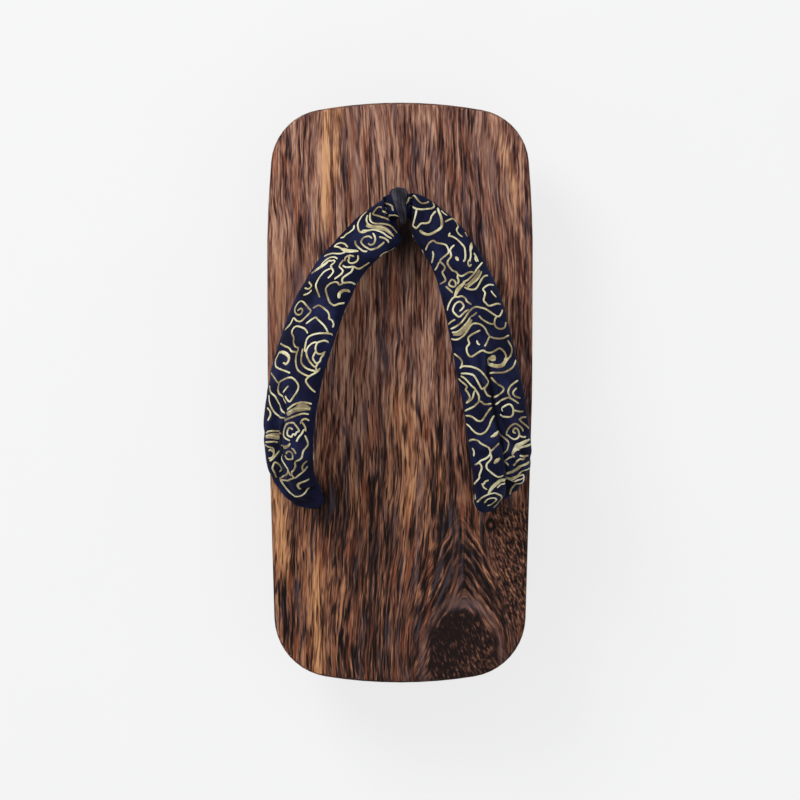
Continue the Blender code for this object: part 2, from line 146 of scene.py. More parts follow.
# Soft creases in the strap's cloth, in millimetres on the cloth.
# u runs along the strap from the toe loop, minus on the left arm. v runs round it from the middle of its top,
# plus towards the outer edge. angle is measured from u towards v, in degrees.
Crease = namedtuple("Crease", "u v angle along across depth")
CREASES = (
    (-12, 2, 62, 6, 1.3, 0.45),
    (-17, 6, 48, 7, 1.6, 0.4),
    (-25, -5, 35, 8, 1.8, 0.35),
    (-34, 5, 55, 7, 1.8, 0.4),
    (-47, -7, 70, 6, 2.0, 0.35),
    (-58, 4, 80, 8, 2.2, 0.4),
    (-78, -3, 100, 9, 2.4, 0.4),
    (-97, 8, 75, 8, 2.2, 0.45),
    (-106, -6, 84, 9, 1.8, 0.5),
    (-118, 8, 100, 8, 1.8, 0.55),
    (-127, -7, 70, 8, 1.7, 0.6),
    (-136, 5, 110, 7, 1.6, 0.6),
    (-143, -8, 60, 8, 1.6, 0.65),
    (-151, 2, 95, 7, 1.5, 0.5),
    (11, 2, 110, 6, 1.3, 0.4),
    (19, -4, 120, 7, 1.6, 0.4),
    (29, 6, 125, 8, 1.8, 0.35),
    (42, -2, 100, 8, 1.8, 0.35),
    (52, 7, 60, 8, 2.0, 0.4),
    (66, -6, 115, 9, 2.2, 0.4),
    (84, 9, 80, 8, 2.2, 0.45),
    (97, -8, 70, 8, 2.2, 0.4),
    (110, 11, 95, 8, 2.0, 0.5),
    (122, -5, 110, 9, 1.8, 0.55),
    (127, 12, 45, 9, 1.6, 0.7),
    (134, 9, 40, 9, 1.5, 0.8),
    (141, 4, 55, 9, 1.5, 0.75),
    (146, -6, 70, 8, 1.6, 0.6),
    (150, 8, 30, 8, 1.3, 0.6),
)

# Where the cloth bunches up beside the toe loop: how far and which way it stands out, and in millimetres along
# the cloth its middle, its half length, and where and over what length it ends under the loop.
# Its place and half width round the strap are shares of the way round, from the middle of the top.
BUNCH_SIZE = 5 * MM
BUNCH_DIRECTION = (0.95, -0.3, 0.0)
BUNCH_U = -8
BUNCH_LENGTH = 10
BUNCH_END_U = -4.4
BUNCH_FADE = 1.5
BUNCH_PLACE = -0.25
BUNCH_WIDTH = 0.13

# The photo, which looks straight down: millimetres to a pixel, and the pixel over the frame's origin
PIXEL = 0.4565
ORIGIN_X = 240
ORIGIN_Y = 392.6

# Long sharp folds in the cloth: the arm, -1 for the left one, the depth and width in millimetres, and then the line,
# charted on enlargements of the photo as x, y, x, y and so on in its pixels
FOLDS = (
    (1, 1.15, 1.15, 326, 346, 327, 354, 328, 362, 328, 376, 332, 396, 334, 410, 337, 424, 341, 438, 344, 454,
     346, 470, 346, 486, 346, 498),
    (-1, 0.95, 1, 120.5, 383, 123.6, 398.6, 125.7, 410, 124, 424, 122, 437, 123, 448, 122, 460, 124, 474),
)

# The cloud scroll, charted in the same way: each line of thread has its width in millimetres, and then x, y,
# x, y and so on in the photo's pixels
LEFT_STROKES = (
    (1, 226, 202.2, 228.7, 204, 230.8, 206.3, 232.3, 209.5, 233.3, 213.5),
    (1, 220.5, 208.6, 218.4, 207.8, 215.5, 209.7, 213.4, 212.6, 213, 214.7, 216.2, 216.4, 219.4, 216.6,
     222.6, 218.6, 226.6, 219.7, 230.5, 219, 232.6, 217.9, 236.2, 218.5, 238, 219.4),
    (1, 224.1, 206.1, 226.4, 206.9, 228.2, 209.4, 227.3, 212.2, 224.8, 213.5, 222.8, 212.2),
    (1, 205.9, 212.9, 201.9, 215.8, 199.4, 220.1, 198, 224.4, 197.6, 228.6, 199.1, 232.6, 202.6, 233.6,
     206.2, 232.9),
    (1, 209.8, 215.1, 209.8, 219.4, 211.2, 222.2, 215.5, 224.7, 221.2, 225.1, 226.9, 225.4, 231.2, 227.2,
     234.8, 230.8, 237.6, 234.4),
    (1, 206.9, 217.2, 206.9, 221.5, 208.7, 225.8, 214, 227.6, 220.5, 228.5, 226, 230.5, 230.5, 233.6, 234,
     237.5),
    (1, 203.5, 231.5, 209, 231.8, 214, 231.2, 219.5, 232.3, 224.5, 235, 228.5, 238, 232, 240),
    (1, 211.6, 239.4, 209.8, 237.9, 206.9, 237.6, 203.7, 239, 201.2, 242.2, 202.3, 245.1, 205.5, 247.6,
     209.1, 250.1, 212.6, 251.5, 216.9, 250.8),
    (1, 213.4, 235.1, 215.5, 237.9, 215.5, 241.5, 214.1, 245.1, 211.2, 246.5, 209.1, 245.1),
    (1, 195.5, 242.9, 196.9, 246.5, 200.5, 249.4, 204.1, 252.2, 207.6, 252.6),
    (1, 178.7, 235.8, 180.5, 239, 183.4, 238.6, 186.2, 235.8, 189.8, 233.6, 192.6, 231.5, 194.1, 229.4,
     194.4, 226.5, 192.6, 222.9, 192.3, 221.5),
    (1, 220.5, 238.6, 224.8, 240.1, 228.4, 242.2, 229.4, 244.4),
    (1, 218.4, 250.1, 221.9, 247.9, 224.8, 245.1),
    (1, 173.8, 247.1, 176.6, 245.3, 180.9, 244.2, 185.2, 245.3, 188.1, 248.1),
    (1, 174.1, 247.1, 178.1, 248.1, 181.6, 249.6, 183.8, 252.1, 187.4, 253.1, 192.4, 253.1, 198.1, 252.2),
    (1, 165.6, 257.1, 168.8, 255.3, 173.1, 254.2, 178.1, 254.6, 181.6, 254.9, 185.2, 253.5),
    (2.2, 184, 250, 188, 252, 192, 252.5, 198.5, 252.2),
    (1, 162.4, 264.9, 165.9, 262.1, 168.8, 259.9, 170.9, 258.5, 175.2, 257.8, 177.4, 259.9),
    (1, 171.6, 262.1, 173.8, 261.4, 174.9, 262.8, 173.8, 264.9, 171, 267),
    (1, 198.8, 257.1, 199.5, 259.9, 197.4, 262.8, 193.8, 264.6, 190.2, 264.2, 188.4, 262.1, 189.6, 260.2),
    (1, 185.2, 262.1, 185.9, 259.2, 189.5, 257.1, 193.8, 257.8),
    (1.8, 152.7, 273.9, 155.9, 271.7, 159.5, 269.2, 163.8, 266.7, 167.4, 264.2, 169.5, 262.1),
    (1, 175.2, 279.9, 178.8, 277.8, 182.4, 274.9, 183.1, 272.1, 180.9, 269.2, 180.2, 267.1, 181.6, 264.2,
     183.1, 262.1),
    (1, 183.8, 267.1, 186.6, 268.5, 190.2, 268.5, 195.2, 268.5, 198.8, 270.6, 202.4, 270.6, 205.9, 268.5,
     210.2, 265.6),
    (1, 195.2, 269.2, 193.1, 272.8, 190.2, 275.6, 186.6, 277.1, 184.5, 279.2, 183.4, 282.1, 185.2, 284.2,
     189.5, 284.6, 193.1, 284.9, 196.6, 286.4),
    (1, 170.2, 270.6, 166.6, 272.1, 163.1, 274.9, 159.5, 279.2, 157.4, 283.5, 156.3, 287.8, 157.4, 292.1,
     159.5, 296.4, 160.2, 298.5),
    (1, 170.9, 267.1, 173.1, 270.6, 173.1, 274.2, 170.9, 277.1, 169, 279),
    (1, 183.8, 284.9, 180.9, 286, 178.1, 283.9, 174.5, 283.5, 170.2, 285.6, 167.4, 289.2, 167.2, 292.5,
     168.6, 297.5, 170.6, 302.5, 173.2, 305.5, 176.5, 306.5, 181, 305.6, 186, 305),
    (1.6, 180.6, 299, 181.4, 295.5, 184.5, 292.8, 188.5, 292, 191.6, 293.4),
    (1, 144.4, 295.6, 147.2, 294.9, 150.1, 293.5, 152.2, 291.4),
    (1, 139.4, 311.4, 142.2, 309.6, 143.6, 312.1, 141.5, 315.3, 137.9, 315.3, 135.8, 312.1, 136.9, 307.8,
     139.4, 304.9, 142.2, 301.7, 145.8, 305.6, 149.4, 309.9, 151.5, 312.8, 149.4, 314.9, 145.8, 318.5, 142.9,
     321.4, 137.9, 321.4, 134.4, 319.2, 132.2, 323.5, 129.4, 327.1, 126.5, 329.9),
    (1, 154.4, 309.2, 157.2, 307.1, 160.8, 306.7, 164.4, 308.9, 167.9, 312.1, 170.8, 316.4, 171.5, 319.9,
     174.4, 322.4, 176.1, 325.6, 175.1, 328.5),
    (1, 147.9, 324.2, 151.5, 321.4, 155.8, 318.9, 159.4, 320.6, 162.2, 324.2, 164.4, 326.4, 167.9, 328.9,
     170.1, 332.8),
    (1, 138.9, 348.5, 136.1, 346.4, 134.3, 342.8, 134.5, 338.2, 132.9, 333.5, 134.4, 329.2, 137.9, 326.7,
     142.2, 327.8, 146.5, 329.9, 149.4, 333.5),
    (1, 174.4, 336, 170.1, 334.6, 164.4, 334.2, 157.9, 334.6, 152.9, 336, 150.4, 337.3, 147.5, 341.4, 146.4,
     345.6, 146.2, 350),
    (1, 122.1, 344.2, 125.4, 346, 129.6, 348.5, 133.2, 351.4, 137.5, 352.4),
    (2, 118.9, 355.6, 120.4, 352.8, 123.9, 352.1, 128.2, 354.9, 130.4, 358.5, 129.6, 362.1, 127.5, 364.2,
     125.4, 363.5),
    (1, 118.9, 355.6, 116.8, 359.9, 116.8, 364.2, 118.9, 367.8, 123.2, 369.2, 126.8, 370.6, 131.1, 372.8),
    (1, 139.6, 349.9, 138.2, 354.2, 137.5, 358.5, 137.5, 364.9, 139.6, 369.9, 143.9, 373.5, 150.4, 375.6,
     154.6, 374.9, 160.4, 372.8, 162.5, 369.2),
    (1, 144, 350, 143.2, 357.1, 142.9, 360.6, 144.6, 364.9, 148.2, 368.5, 153.2, 370.3, 157.5, 371.4),
    (1, 156.8, 342.8, 152.5, 344.2, 148.9, 348.5, 147.9, 353.5, 150.4, 359.9, 153.2, 363.5, 156.8, 366.4),
    (1, 170.4, 343.5, 167.5, 341.7, 163.2, 341.7, 158.9, 343.5, 156.8, 347.1, 157.5, 351.4, 160.4, 354.2,
     164.6, 354.9, 167.5, 352.8),
    (1, 157.5, 352.1, 155.4, 355.6, 154.6, 358.5, 156.8, 362.1, 159.6, 364.2, 162.5, 362.1, 163.9, 358.5,
     166.8, 354.9),
    (1, 160.4, 364.2, 158.9, 367.8, 159.6, 371.4, 156.8, 374.9),
    (1, 151.8, 375.6, 148.2, 379.2, 147.9, 382.1, 150.4, 385.6, 153.9, 388.5, 158.2, 392.1),
    (1, 112.5, 373.5, 115.4, 377.1, 118.9, 381.4, 120.4, 383.5),
    (1, 120.4, 383.5, 123.2, 380.6, 128.2, 378.1, 132.5, 377.8, 136.8, 379.9, 139.6, 384.2, 140.4, 387.8,
     138.6, 391.5, 135.4, 395.9, 133.2, 400.2, 131.1, 401.6, 128.9, 400.2, 127.5, 397.4),
    (1, 120.4, 383.5, 119.6, 389.2, 121.1, 394.2, 124.5, 398.5, 127.5, 403.1),
    (1, 129.6, 386.4, 126.8, 389.2, 125.2, 392.8),
    (1, 110.4, 386.4, 112.5, 391.8, 116.8, 396.6, 119.6, 402.4, 122.5, 408.1, 125.4, 413.1),
    (1, 110.4, 395.9, 111.1, 402.4, 113.2, 408.1, 116.8, 413.1, 121.1, 416.6, 125.4, 418.4),
    (1, 108.9, 408.1, 111.4, 411.6, 111.8, 415.9, 109.6, 420.2),
    (1, 129.6, 409.5, 132.5, 406.6, 136.8, 404.1, 142.5, 403.1, 148.9, 403.8, 153.9, 404.5),
    (1, 131.1, 411.6, 136.1, 409.5, 141.1, 408.4, 146.8, 408.8, 152.5, 409.5),
    (1, 126.1, 420.2, 131.1, 418.4, 135.4, 416.6, 140.4, 414.5, 145.4, 413.8, 151.1, 414.5),
    (1, 133.9, 428.8, 131.1, 428.1, 128.9, 430.9, 129.6, 435.2, 133.2, 436.6, 134.6, 434.5),
    (1, 131.1, 440.2, 127.5, 438.1, 125.4, 433.8, 126.1, 428.1, 128.9, 423.8, 133.2, 422.4, 136.1, 423.8,
     138.9, 427.4, 140.7, 430.2, 138.2, 432.4, 136.8, 435.2),
    (1, 142.5, 423.1, 144.6, 420.6, 148.9, 419.1, 151.8, 420.2),
    (1, 145.4, 423.8, 148.2, 427.4, 148.9, 430.2),
    (1, 146.8, 430.2, 144.6, 433.8, 141.1, 437.4, 138.2, 440.2),
    (1, 106.8, 432.4, 111.8, 431.3, 116.8, 432, 121.1, 432.7),
    (1, 106.8, 435.9, 111.8, 435.9, 116.8, 436.6, 120.4, 436.6),
    (1, 107.5, 441.9, 113.2, 441.9, 118.9, 442.2),
    (1, 106.8, 445.1, 110.4, 447.2, 113.9, 447.9, 116.1, 450.1, 116.8, 453.6, 114.6, 456.5, 111.8, 458.3,
     110.4, 457.9),
    (1, 110.4, 450.1, 112.5, 449.7, 114.3, 451.5),
    (1, 111.1, 460.1, 115.4, 457.9, 118.9, 455.1, 120.4, 450.8),
    (2, 122.5, 445.1, 126.1, 446.9, 129.6, 446.1, 131.8, 443.6),
    (1, 133.2, 447.9, 135.4, 449.4, 137.5, 452.9),
    (1, 127.5, 452.9, 129.6, 450.8, 133.2, 452.2, 134.6, 455.1, 133.2, 458.3, 130.4, 459.4, 127.5, 457.9,
     126.1, 455.1),
    (1, 148.2, 435.8, 149.6, 439.4, 151.1, 443.6, 148.9, 447.2, 146.1, 450.8, 144.6, 454.4, 143.2, 457.9,
     139.6, 460.1, 136.8, 462.2, 137.5, 465.8, 135.4, 469.4, 133.2, 472.2, 133.9, 475.8, 136.1, 477.9),
    (1, 136.1, 477.9, 140.4, 474.4, 144.6, 471.5, 148.2, 468.6, 149.6, 466.5),
    (1, 149.6, 460.8, 146.8, 463.6, 144.6, 467.2, 145.4, 470.1),
    (1, 122.5, 455.1, 124.6, 460.8, 127.5, 465.8, 129.6, 470.1, 127.5, 473.6, 123.9, 477.2, 122.5, 479.4,
     124.6, 482.9, 126.8, 487.2, 129.6, 490.8, 133.2, 494.4, 137.5, 496.5, 141.1, 495.8, 145.4, 492.9, 149.6,
     490.1, 151.8, 488.6),
    (1, 123.2, 479.4, 127.5, 480.1, 131.1, 479.4, 134.6, 477.9),
    (1, 129.6, 470.1, 131.8, 474.4),
    (1, 117.5, 477.2, 116.1, 472.9, 114.3, 468.6, 115.4, 464.4, 117.5, 462.2, 120.4, 463.6, 122.5, 467.9,
     121.8, 471.5),
    (1.4, 151.1, 478.6, 146.8, 480.8, 142.5, 482.2, 138.9, 484.7, 139.6, 488.6, 141.4, 489.4),
    (1, 150, 283.1, 151.9, 286.9, 149.6, 289.8, 146.2, 289),
)
RIGHT_STROKES = (
    (1, 303.1, 229.4, 305.6, 233.1, 306.9, 237.5),
    (1, 292.5, 220, 295.6, 222.5, 297.5, 226.2),
    (1, 313.8, 255, 316.2, 258.8, 317.5, 262.5),
    (1, 247, 204.3, 247.7, 202.1, 249.5, 199.3, 252, 197.5, 254.9, 197.5, 256.6, 200, 259.5, 202.9, 263.1,
     204.3, 267, 203.6, 268.1, 202.9),
    (1, 248.8, 207.9, 251.6, 208.9, 255.6, 210.7, 260.9, 210.7, 266.6, 210.4, 270.9, 209.8, 273.8, 208.2,
     274.5, 205.7, 273.4, 204.6),
    (1, 255.9, 210.7, 254.9, 214.6, 253.8, 219.6, 252.4, 223.9, 251.6, 227.5, 253.1, 229.6, 255.2, 230.4,
     257.4, 228.2, 260.2, 225, 263.8, 225, 267.4, 224.3, 270.2, 221.8, 271.3, 217.5, 273.8, 214.6, 275.2,
     212.9),
    (1.4, 259.1, 233.2, 261.6, 235, 265.9, 236.1, 270.2, 235.4, 275.2, 232.9, 278.8, 230.4, 281.3, 226.8,
     281.3, 222.5, 280.9, 218.9, 279.5, 215.4, 278.4, 212.5, 278.1, 209.6),
    (1, 281.6, 212.1, 283.8, 214.6, 286.6, 216.8),
    (1, 285.2, 223.2, 288.1, 221.8, 291.6, 220.7),
    (1, 298.1, 227.5, 296.6, 231.1, 298.1, 234.6, 301.6, 237.5),
    (1, 264.6, 251.9, 266.1, 247.6, 268.6, 244.4, 272.1, 243, 276.1, 244.4, 279.6, 245.5, 283.9, 246.2,
     286.8, 248.4, 288.2, 251.6, 286.8, 254.8, 283.9, 257.6, 280.4, 260.5, 278.6, 263.4, 280.4, 266.2, 282.9,
     268.4, 282.5, 271.9, 280.7, 275.1, 282.1, 278.4, 283.9, 281.2, 282.1, 284.1, 278.9, 286.2),
    (1, 278.6, 263.4, 276.8, 266.2, 275, 269.8, 273.6, 271.9),
    (1, 271.1, 254.1, 271.8, 257.6, 271.1, 261.9, 270.4, 264.8),
    (1, 293.9, 246.9, 291.1, 249.1, 289.6, 251.9, 290.7, 255.5, 289.6, 258.4, 287.1, 261.9, 286.4, 265.5,
     288.2, 269.1, 291.1, 271.9, 294.6, 273.4, 297.5, 276.2, 301.1, 277.6, 303.9, 276.2, 307.5, 274.1, 311.1,
     273.4),
    (1, 289.1, 235, 288.1, 237.5, 289.6, 237.6, 293.2, 238.7, 297.5, 241.2, 301.1, 245.5, 303.9, 249.8, 305,
     255.5, 304.3, 259.8, 303.2, 262.6),
    (1, 308.2, 261.9, 307.5, 264.8, 308.9, 267.6, 310.4, 266.2),
    (2, 295.4, 259.1, 297.5, 261.9),
    (2, 311.1, 244.8, 310.4, 249.1, 310, 253.4),
    (1, 310, 252, 310.4, 257.6, 310, 261.9),
    (1, 314.6, 259.1, 315.7, 262.6),
    (1, 321.8, 264.4, 319.6, 266.2, 316.8, 269.8, 313.9, 274.1, 310.4, 278.4, 306.8, 281.6, 303.2, 283.4),
    (1, 320.4, 273.4, 318.9, 276.9, 316.1, 281.2, 312.5, 284.8, 307.5, 288.4),
    (1, 326.1, 276.9, 322.5, 279.1, 319.6, 284.1, 316.1, 288.4, 312.5, 291.2, 307.5, 290.5, 303.2, 288.4),
    (2.4, 303.2, 284.8, 299.6, 286.9, 296.8, 290.5, 294.6, 294.8, 293.2, 297.6),
    (1, 290.4, 281.2, 288.2, 283.4, 287.5, 286.2, 290.4, 288.4, 293.9, 287.6, 294.6, 284.1, 292.5, 281.6),
    (1, 284.6, 288.4, 286.8, 291.2, 290.4, 294.1),
    (1, 296.1, 278.4, 297.5, 281.9, 296.8, 284.8),
    (1, 285.5, 311.4, 286.2, 307.8, 289.1, 302.1, 292.6, 298.5, 296.9, 298.1, 300.5, 297.4, 304.1, 299.2,
     306.2, 302.8, 309.8, 305.6),
    (1, 297.6, 312.1, 300.5, 309.9, 302.6, 307.1, 301.2, 303.9, 297.6, 302.8, 294.1, 304.6, 291.9, 307.8,
     290.9, 312.1, 293.4, 315.6, 296.9, 318.5, 300.5, 315.6, 304.1, 312.8, 306.9, 310.6),
    (1, 289.1, 329.9, 293.4, 327.8, 298.4, 324.2, 302.6, 319.2, 306.9, 314.2, 311.2, 309.9, 314.8, 308.1,
     319.8, 308.5, 324.8, 310.3, 329.8, 313.1, 334.1, 316, 336.2, 317.4, 339.8, 314.2, 341.2, 311.4),
    (1, 335.5, 317.4, 334.1, 320.6, 333.4, 324.2, 334.8, 327.8, 338.4, 329.9, 341.9, 329.2, 344.1, 327.1,
     344.8, 324.2),
    (1, 318.4, 317.1, 321.2, 319.9, 325.5, 322.8, 329.8, 324.9, 333.4, 324.9),
    (1, 309.8, 317.8, 312.6, 315.6, 315.5, 313.5),
    (1, 290.5, 333.5, 296.2, 332.1, 300.5, 327.8, 305.5, 322.8, 309.8, 317.8),
    (1, 289.8, 339.9, 294.8, 340.3, 299.8, 337.8, 304.1, 333.5, 307.6, 328.5, 311.9, 324.9, 315.5, 324.2,
     319.8, 325.6, 324.1, 329.2, 326.2, 333.5, 328.4, 336.7),
    (1, 328.4, 336.7, 332.6, 338.5, 337.6, 339.2, 342.6, 338.5, 346.9, 336.4),
    (1, 328.4, 336.7, 326.9, 340.6, 325.5, 344.2, 323.4, 346.4),
    (1, 318.4, 331.4, 314.8, 333.5, 310.5, 334.9, 306.9, 337.8, 306.2, 341.4, 307.7, 343.9, 305, 347.4,
     304.1, 350.2, 305, 353.8, 308.2, 356.4, 311.4, 356.4, 314.6, 354.1, 318.2, 352.2, 322, 351.2),
    (1, 315.5, 341.4, 316.6, 344.2, 318.4, 344.9),
    (1, 332.6, 286, 328.4, 286.4, 324.8, 287.8, 322.6, 290.6, 324.1, 294.2, 323.7, 297.8, 322.6, 301.4,
     324.8, 304.2, 328.4, 306.7, 331.9, 306.4, 335.5, 304.9, 339.1, 305.3),
    (1, 330.5, 292.1, 332.6, 295.6, 334.8, 297.8),
    (1, 286.9, 325.6, 289.8, 322.8, 292.6, 321.4),
    (1, 346.9, 341.4, 348.4, 345.6),
    (1, 324.6, 352.4, 328.6, 353.1, 331.8, 352, 333.9, 349.9, 336.8, 348.6, 340, 349.5, 342.5, 351.6, 344.3,
     354.1, 344.6, 357, 343.2, 359.8),
    (1, 347.1, 342.4, 349.6, 346.6, 350.9, 351.6, 349.6, 355.2, 347.9, 357.7),
    (2.1, 347.9, 357.7, 344.6, 361.3, 341.1, 364.6, 336.8, 366.3, 332.5, 365.8, 328.9, 363.8, 327.5, 360.9,
     328.6, 358.6, 330.7, 357.4),
    (2.6, 328.9, 359.3, 330.3, 357.9, 331.6, 357.1, 332.4, 358, 331.9, 359.4, 330.4, 359.7),
    (1, 355, 355.2, 354.6, 360.2, 351.8, 365.9, 348.2, 369.5, 343.9, 372, 338.9, 373.1, 333.2, 372.4, 329.6,
     373.1),
    (1, 292.5, 355.2, 295.4, 357, 298.2, 359.1, 299.6, 362.4, 299.3, 365.9, 297.5, 368.4),
    (1, 297.5, 368.4, 300.4, 367.4, 305.4, 366.6, 310.4, 367, 314.6, 368.4, 318.2, 370.6, 321.4, 373.8,
     323.9, 377.4, 326.4, 380.2, 326.4, 383.8, 323.9, 386.6, 323.6, 389.5, 324.6, 392.4, 326.4, 394.9, 328.9,
     395.6),
    (1, 299.3, 373.8, 303.9, 373.4, 308.2, 374.5, 311.8, 377, 314.6, 380.6, 316.8, 384.1, 318.9, 387.4,
     321.8, 388.4, 323.9, 387),
    (1, 298.9, 377, 302.9, 379.5, 306.1, 382.4, 308.9, 385.6, 311.8, 388.4, 313.9, 391.3, 315.7, 394.5,
     316.4, 398.1, 316.1, 400.2),
    (1, 296.8, 379.5, 300.4, 382.4, 303.6, 385.6, 302.9, 389.5, 305, 392.7, 307.1, 396.6, 306.1, 400.2,
     303.6, 403.1),
    (1, 311.1, 392.4, 310.4, 396.6, 308.2, 399.5, 303.6, 403.4),
    (1, 316.6, 400.6, 314.1, 404.2, 310.9, 407.4, 306.9, 409.6, 303.4, 411),
    (1, 316.6, 400.6, 319.1, 402.8, 322.6, 404.6, 326.2, 404.9, 329.1, 404.2),
    (1, 330.4, 377.4, 333.2, 381.6, 336.1, 385.2, 339.6, 388.1, 340.7, 390.9, 339.6, 393.8, 336.8, 395.9,
     334.6, 397.4),
    (1, 356.1, 380.9, 351.8, 383.8, 348.2, 386.6, 346.1, 389.5, 345.4, 393.1, 346.4, 396.6, 347.5, 398.8),
    (1, 335.5, 404.2, 338.4, 401.4, 341.9, 399.6, 346.9, 398.9, 352.6, 400.3, 356.2, 402.4),
    (1, 354.3, 388.1, 351.8, 390.2, 351.4, 393.1, 353.2, 395.9, 356.1, 396.6, 357.9, 397.4),
    (1, 341.2, 410.6, 340.5, 408.5, 341.9, 406.4, 344.8, 404.9, 348, 406, 350.1, 408.9, 350.5, 412.1, 349.1,
     415.6, 345.9, 417.8, 341.9, 416.7, 338.7, 414.9),
    (1, 350.9, 411, 354.8, 411, 358.4, 411.7, 361.6, 411.4),
    (1, 344.8, 433.5, 345.5, 429.2, 348.4, 425.6, 351.9, 424.2, 356.2, 424.9, 359.8, 427.8, 361.2, 430.6),
    (1, 352.6, 433.5, 350.5, 432.4, 349.8, 431, 351.9, 428.5, 355.5, 429.2, 357.6, 432.1, 357.6, 435.6,
     354.8, 438.5, 351.2, 439.2, 347.6, 437.8, 345.5, 435.6),
    (1, 357.3, 435.6, 360.5, 436.7, 363.4, 436.4),
    (1, 357.6, 419.9, 360.5, 417.8, 364.1, 417.1),
    (1, 359.8, 422.1, 363.4, 424.9, 366.9, 427.8),
    (1, 304.1, 416, 307.6, 416.4, 311.2, 418.1, 314.8, 421, 318.4, 421, 321.9, 418.1, 324.8, 414.2, 327.6,
     410.6, 329.8, 408.5),
    (1, 304.1, 424.2, 306.9, 426.4, 309.8, 429.9, 313.4, 432.8, 317.6, 433.9, 321.9, 432.4, 325.5, 429.6,
     328, 425.6, 329.4, 421.4, 331.2, 417.8, 333.4, 415.6),
    (1.8, 329.8, 436.7, 332.6, 435.3, 335.5, 432.8, 336.6, 431.4),
    (1, 338.4, 431.4, 342.6, 435.6, 344.8, 439.2, 346.2, 443.5, 346.1, 447.8, 344.8, 451.4, 343.8, 454.6),
    (1, 307.2, 440.7, 310.8, 439.3, 315.1, 440, 318.6, 443.2, 322.2, 445.4, 325.8, 447.5, 328.3, 450.7, 329,
     453.2, 326.5, 456.1, 322.9, 458.2, 319.4, 460.4, 316.5, 462.1, 312.2, 464.3, 307.9, 464.6),
    (1, 329.4, 451.4, 332.8, 448.5, 335.6, 445.3, 337.4, 443.2),
    (1, 310.1, 447.8, 311.9, 451.6, 311.2, 455.2),
    (1, 316.5, 462.1, 318.6, 465, 319.4, 468.2, 317.6, 471.4, 317.2, 474.6, 316.9, 477.5, 314.4, 479.6,
     312.2, 483.2),
    (1, 329, 453.2, 330.1, 456.8, 327.6, 460.4, 324.7, 463.9, 324.4, 467.5, 327.2, 470.7, 331.5, 473.2,
     335.1, 476.1, 339.4, 476.1, 341.5, 474.6),
    (2.3, 333.1, 462.3, 335.4, 460.4, 338.2, 457.9),
    (2.3, 350.1, 453.5, 351.7, 449.8, 354.6, 446.6, 358.8, 443.7, 363, 441.6, 367.2, 439.6),
    (1.3, 368.5, 443.6, 363.5, 445.6, 359.5, 447.4, 355.4, 450.4),
    (1, 367.2, 455.4, 362.2, 456.1, 357.2, 455.4),
    (1, 345.1, 461.8, 347.2, 458.2, 351.5, 456.1),
    (1, 345.8, 461.1, 347.2, 464.6),
    (1, 350.8, 464.6, 353.6, 461.8, 357.9, 458.9, 362.2, 458.2),
    (1.5, 347.2, 472.9, 351.5, 470.4, 355.8, 468.2, 360.1, 465.7, 363.6, 463.6, 367.9, 461.4),
    (1, 348.6, 477.5, 354.4, 476.1, 358.6, 473.2, 363.6, 470.4, 368.6, 467.5),
    (2.3, 327.4, 492.5, 330.1, 488, 332.9, 484.8, 336.5, 482.2, 341.1, 479.5, 346, 478),
    (1, 347.4, 479.2, 350.6, 478.9, 354.4, 477.1, 358.6, 475.4, 362.9, 475.4, 366.1, 477.5, 365.8, 479.6,
     362.2, 481.1),
    (1, 336.5, 486.8, 340.1, 483.9, 344.4, 482.5, 350.8, 481.1, 355.8, 479.6, 362.2, 477.5),
    (1, 348.6, 493.9, 349, 490.4, 350.8, 486.8, 354.4, 484.3, 358.6, 483.2, 362.9, 481.8),
    (1, 322.2, 483.2, 322.9, 481.1, 326.5, 479.6),
    (1, 320.1, 483.2, 322.2, 486.8, 325.1, 488.9),
    (1, 311.5, 506.1, 315.1, 501.8, 318.6, 498.9, 322.2, 496.1, 327.2, 493.9, 332.2, 492.5, 336.5, 492.9,
     340.1, 494.6, 341.1, 497.5, 339.4, 501.1, 337.2, 504.6, 333.6, 507.5),
    (1, 322.9, 503.2, 325.8, 499.6, 329.4, 497.5, 333.6, 497.5, 335.1, 499.6, 332.9, 503.2, 330.1, 505.4,
     326.5, 506.1),
    (1, 312.9, 493.9, 313.6, 496.8, 312.2, 498.9),
)
# Pale bands between bundled lines: the arm first, and then as above
BANDS = (
    (-1, 3.4, 206.5, 226.5, 211, 228, 217, 228.6, 223, 229.6, 228, 232.2, 233, 236.5),
    (-1, 4.4, 129, 414, 134, 411, 141, 408.5, 147, 408, 153.5, 409.5),
    (-1, 4, 106.5, 437, 113, 436.5, 121, 437),
    (1, 2.5, 319, 272, 315, 279, 309, 285, 304, 287),
    (1, 2.6, 291, 336, 297, 335, 302, 331, 307, 325, 311, 320.5),
)

# How the chart is laid on the cloth: the fineness of the skin that is searched, and in millimetres how far from a
# pixel the uppermost skin is looked for, how far off the cloth a point is left out, and the least bend a point makes
SEARCH_STEP = 0.2 * MM
SEARCH_SIDES = 240
SEARCH_REACH = 0.45
OFF_CLOTH = 0.8
LEAST_BEND = 0.13
# How a charted line's ends grow, in pixels: to a line ahead within the longer reach, or any line within the shorter
# one, unless they touch already, or else by a little
MEET_AHEAD = 3.1
MEET_FACING = 0.72
MEET_NEAR = 1.2
MEET_TOUCH = 0.4
FREE_END = 0.7


def link(obj):
    bpy.context.scene.collection.objects.link(obj)
    return obj


def piece(obj, node=None):
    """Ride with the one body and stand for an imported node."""
    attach(obj, "root")
    if node:
        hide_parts(node)
    return obj


# Shader graphs


def linear(r, g, b):
    """A colour from 0 to 255, as the shader wants it."""
    def channel(c):
        c = c / 255
        return c / 12.92 if c <= 0.04045 else ((c + 0.055) / 1.055) ** 2.4
    return (channel(r), channel(g), channel(b), 1.0)


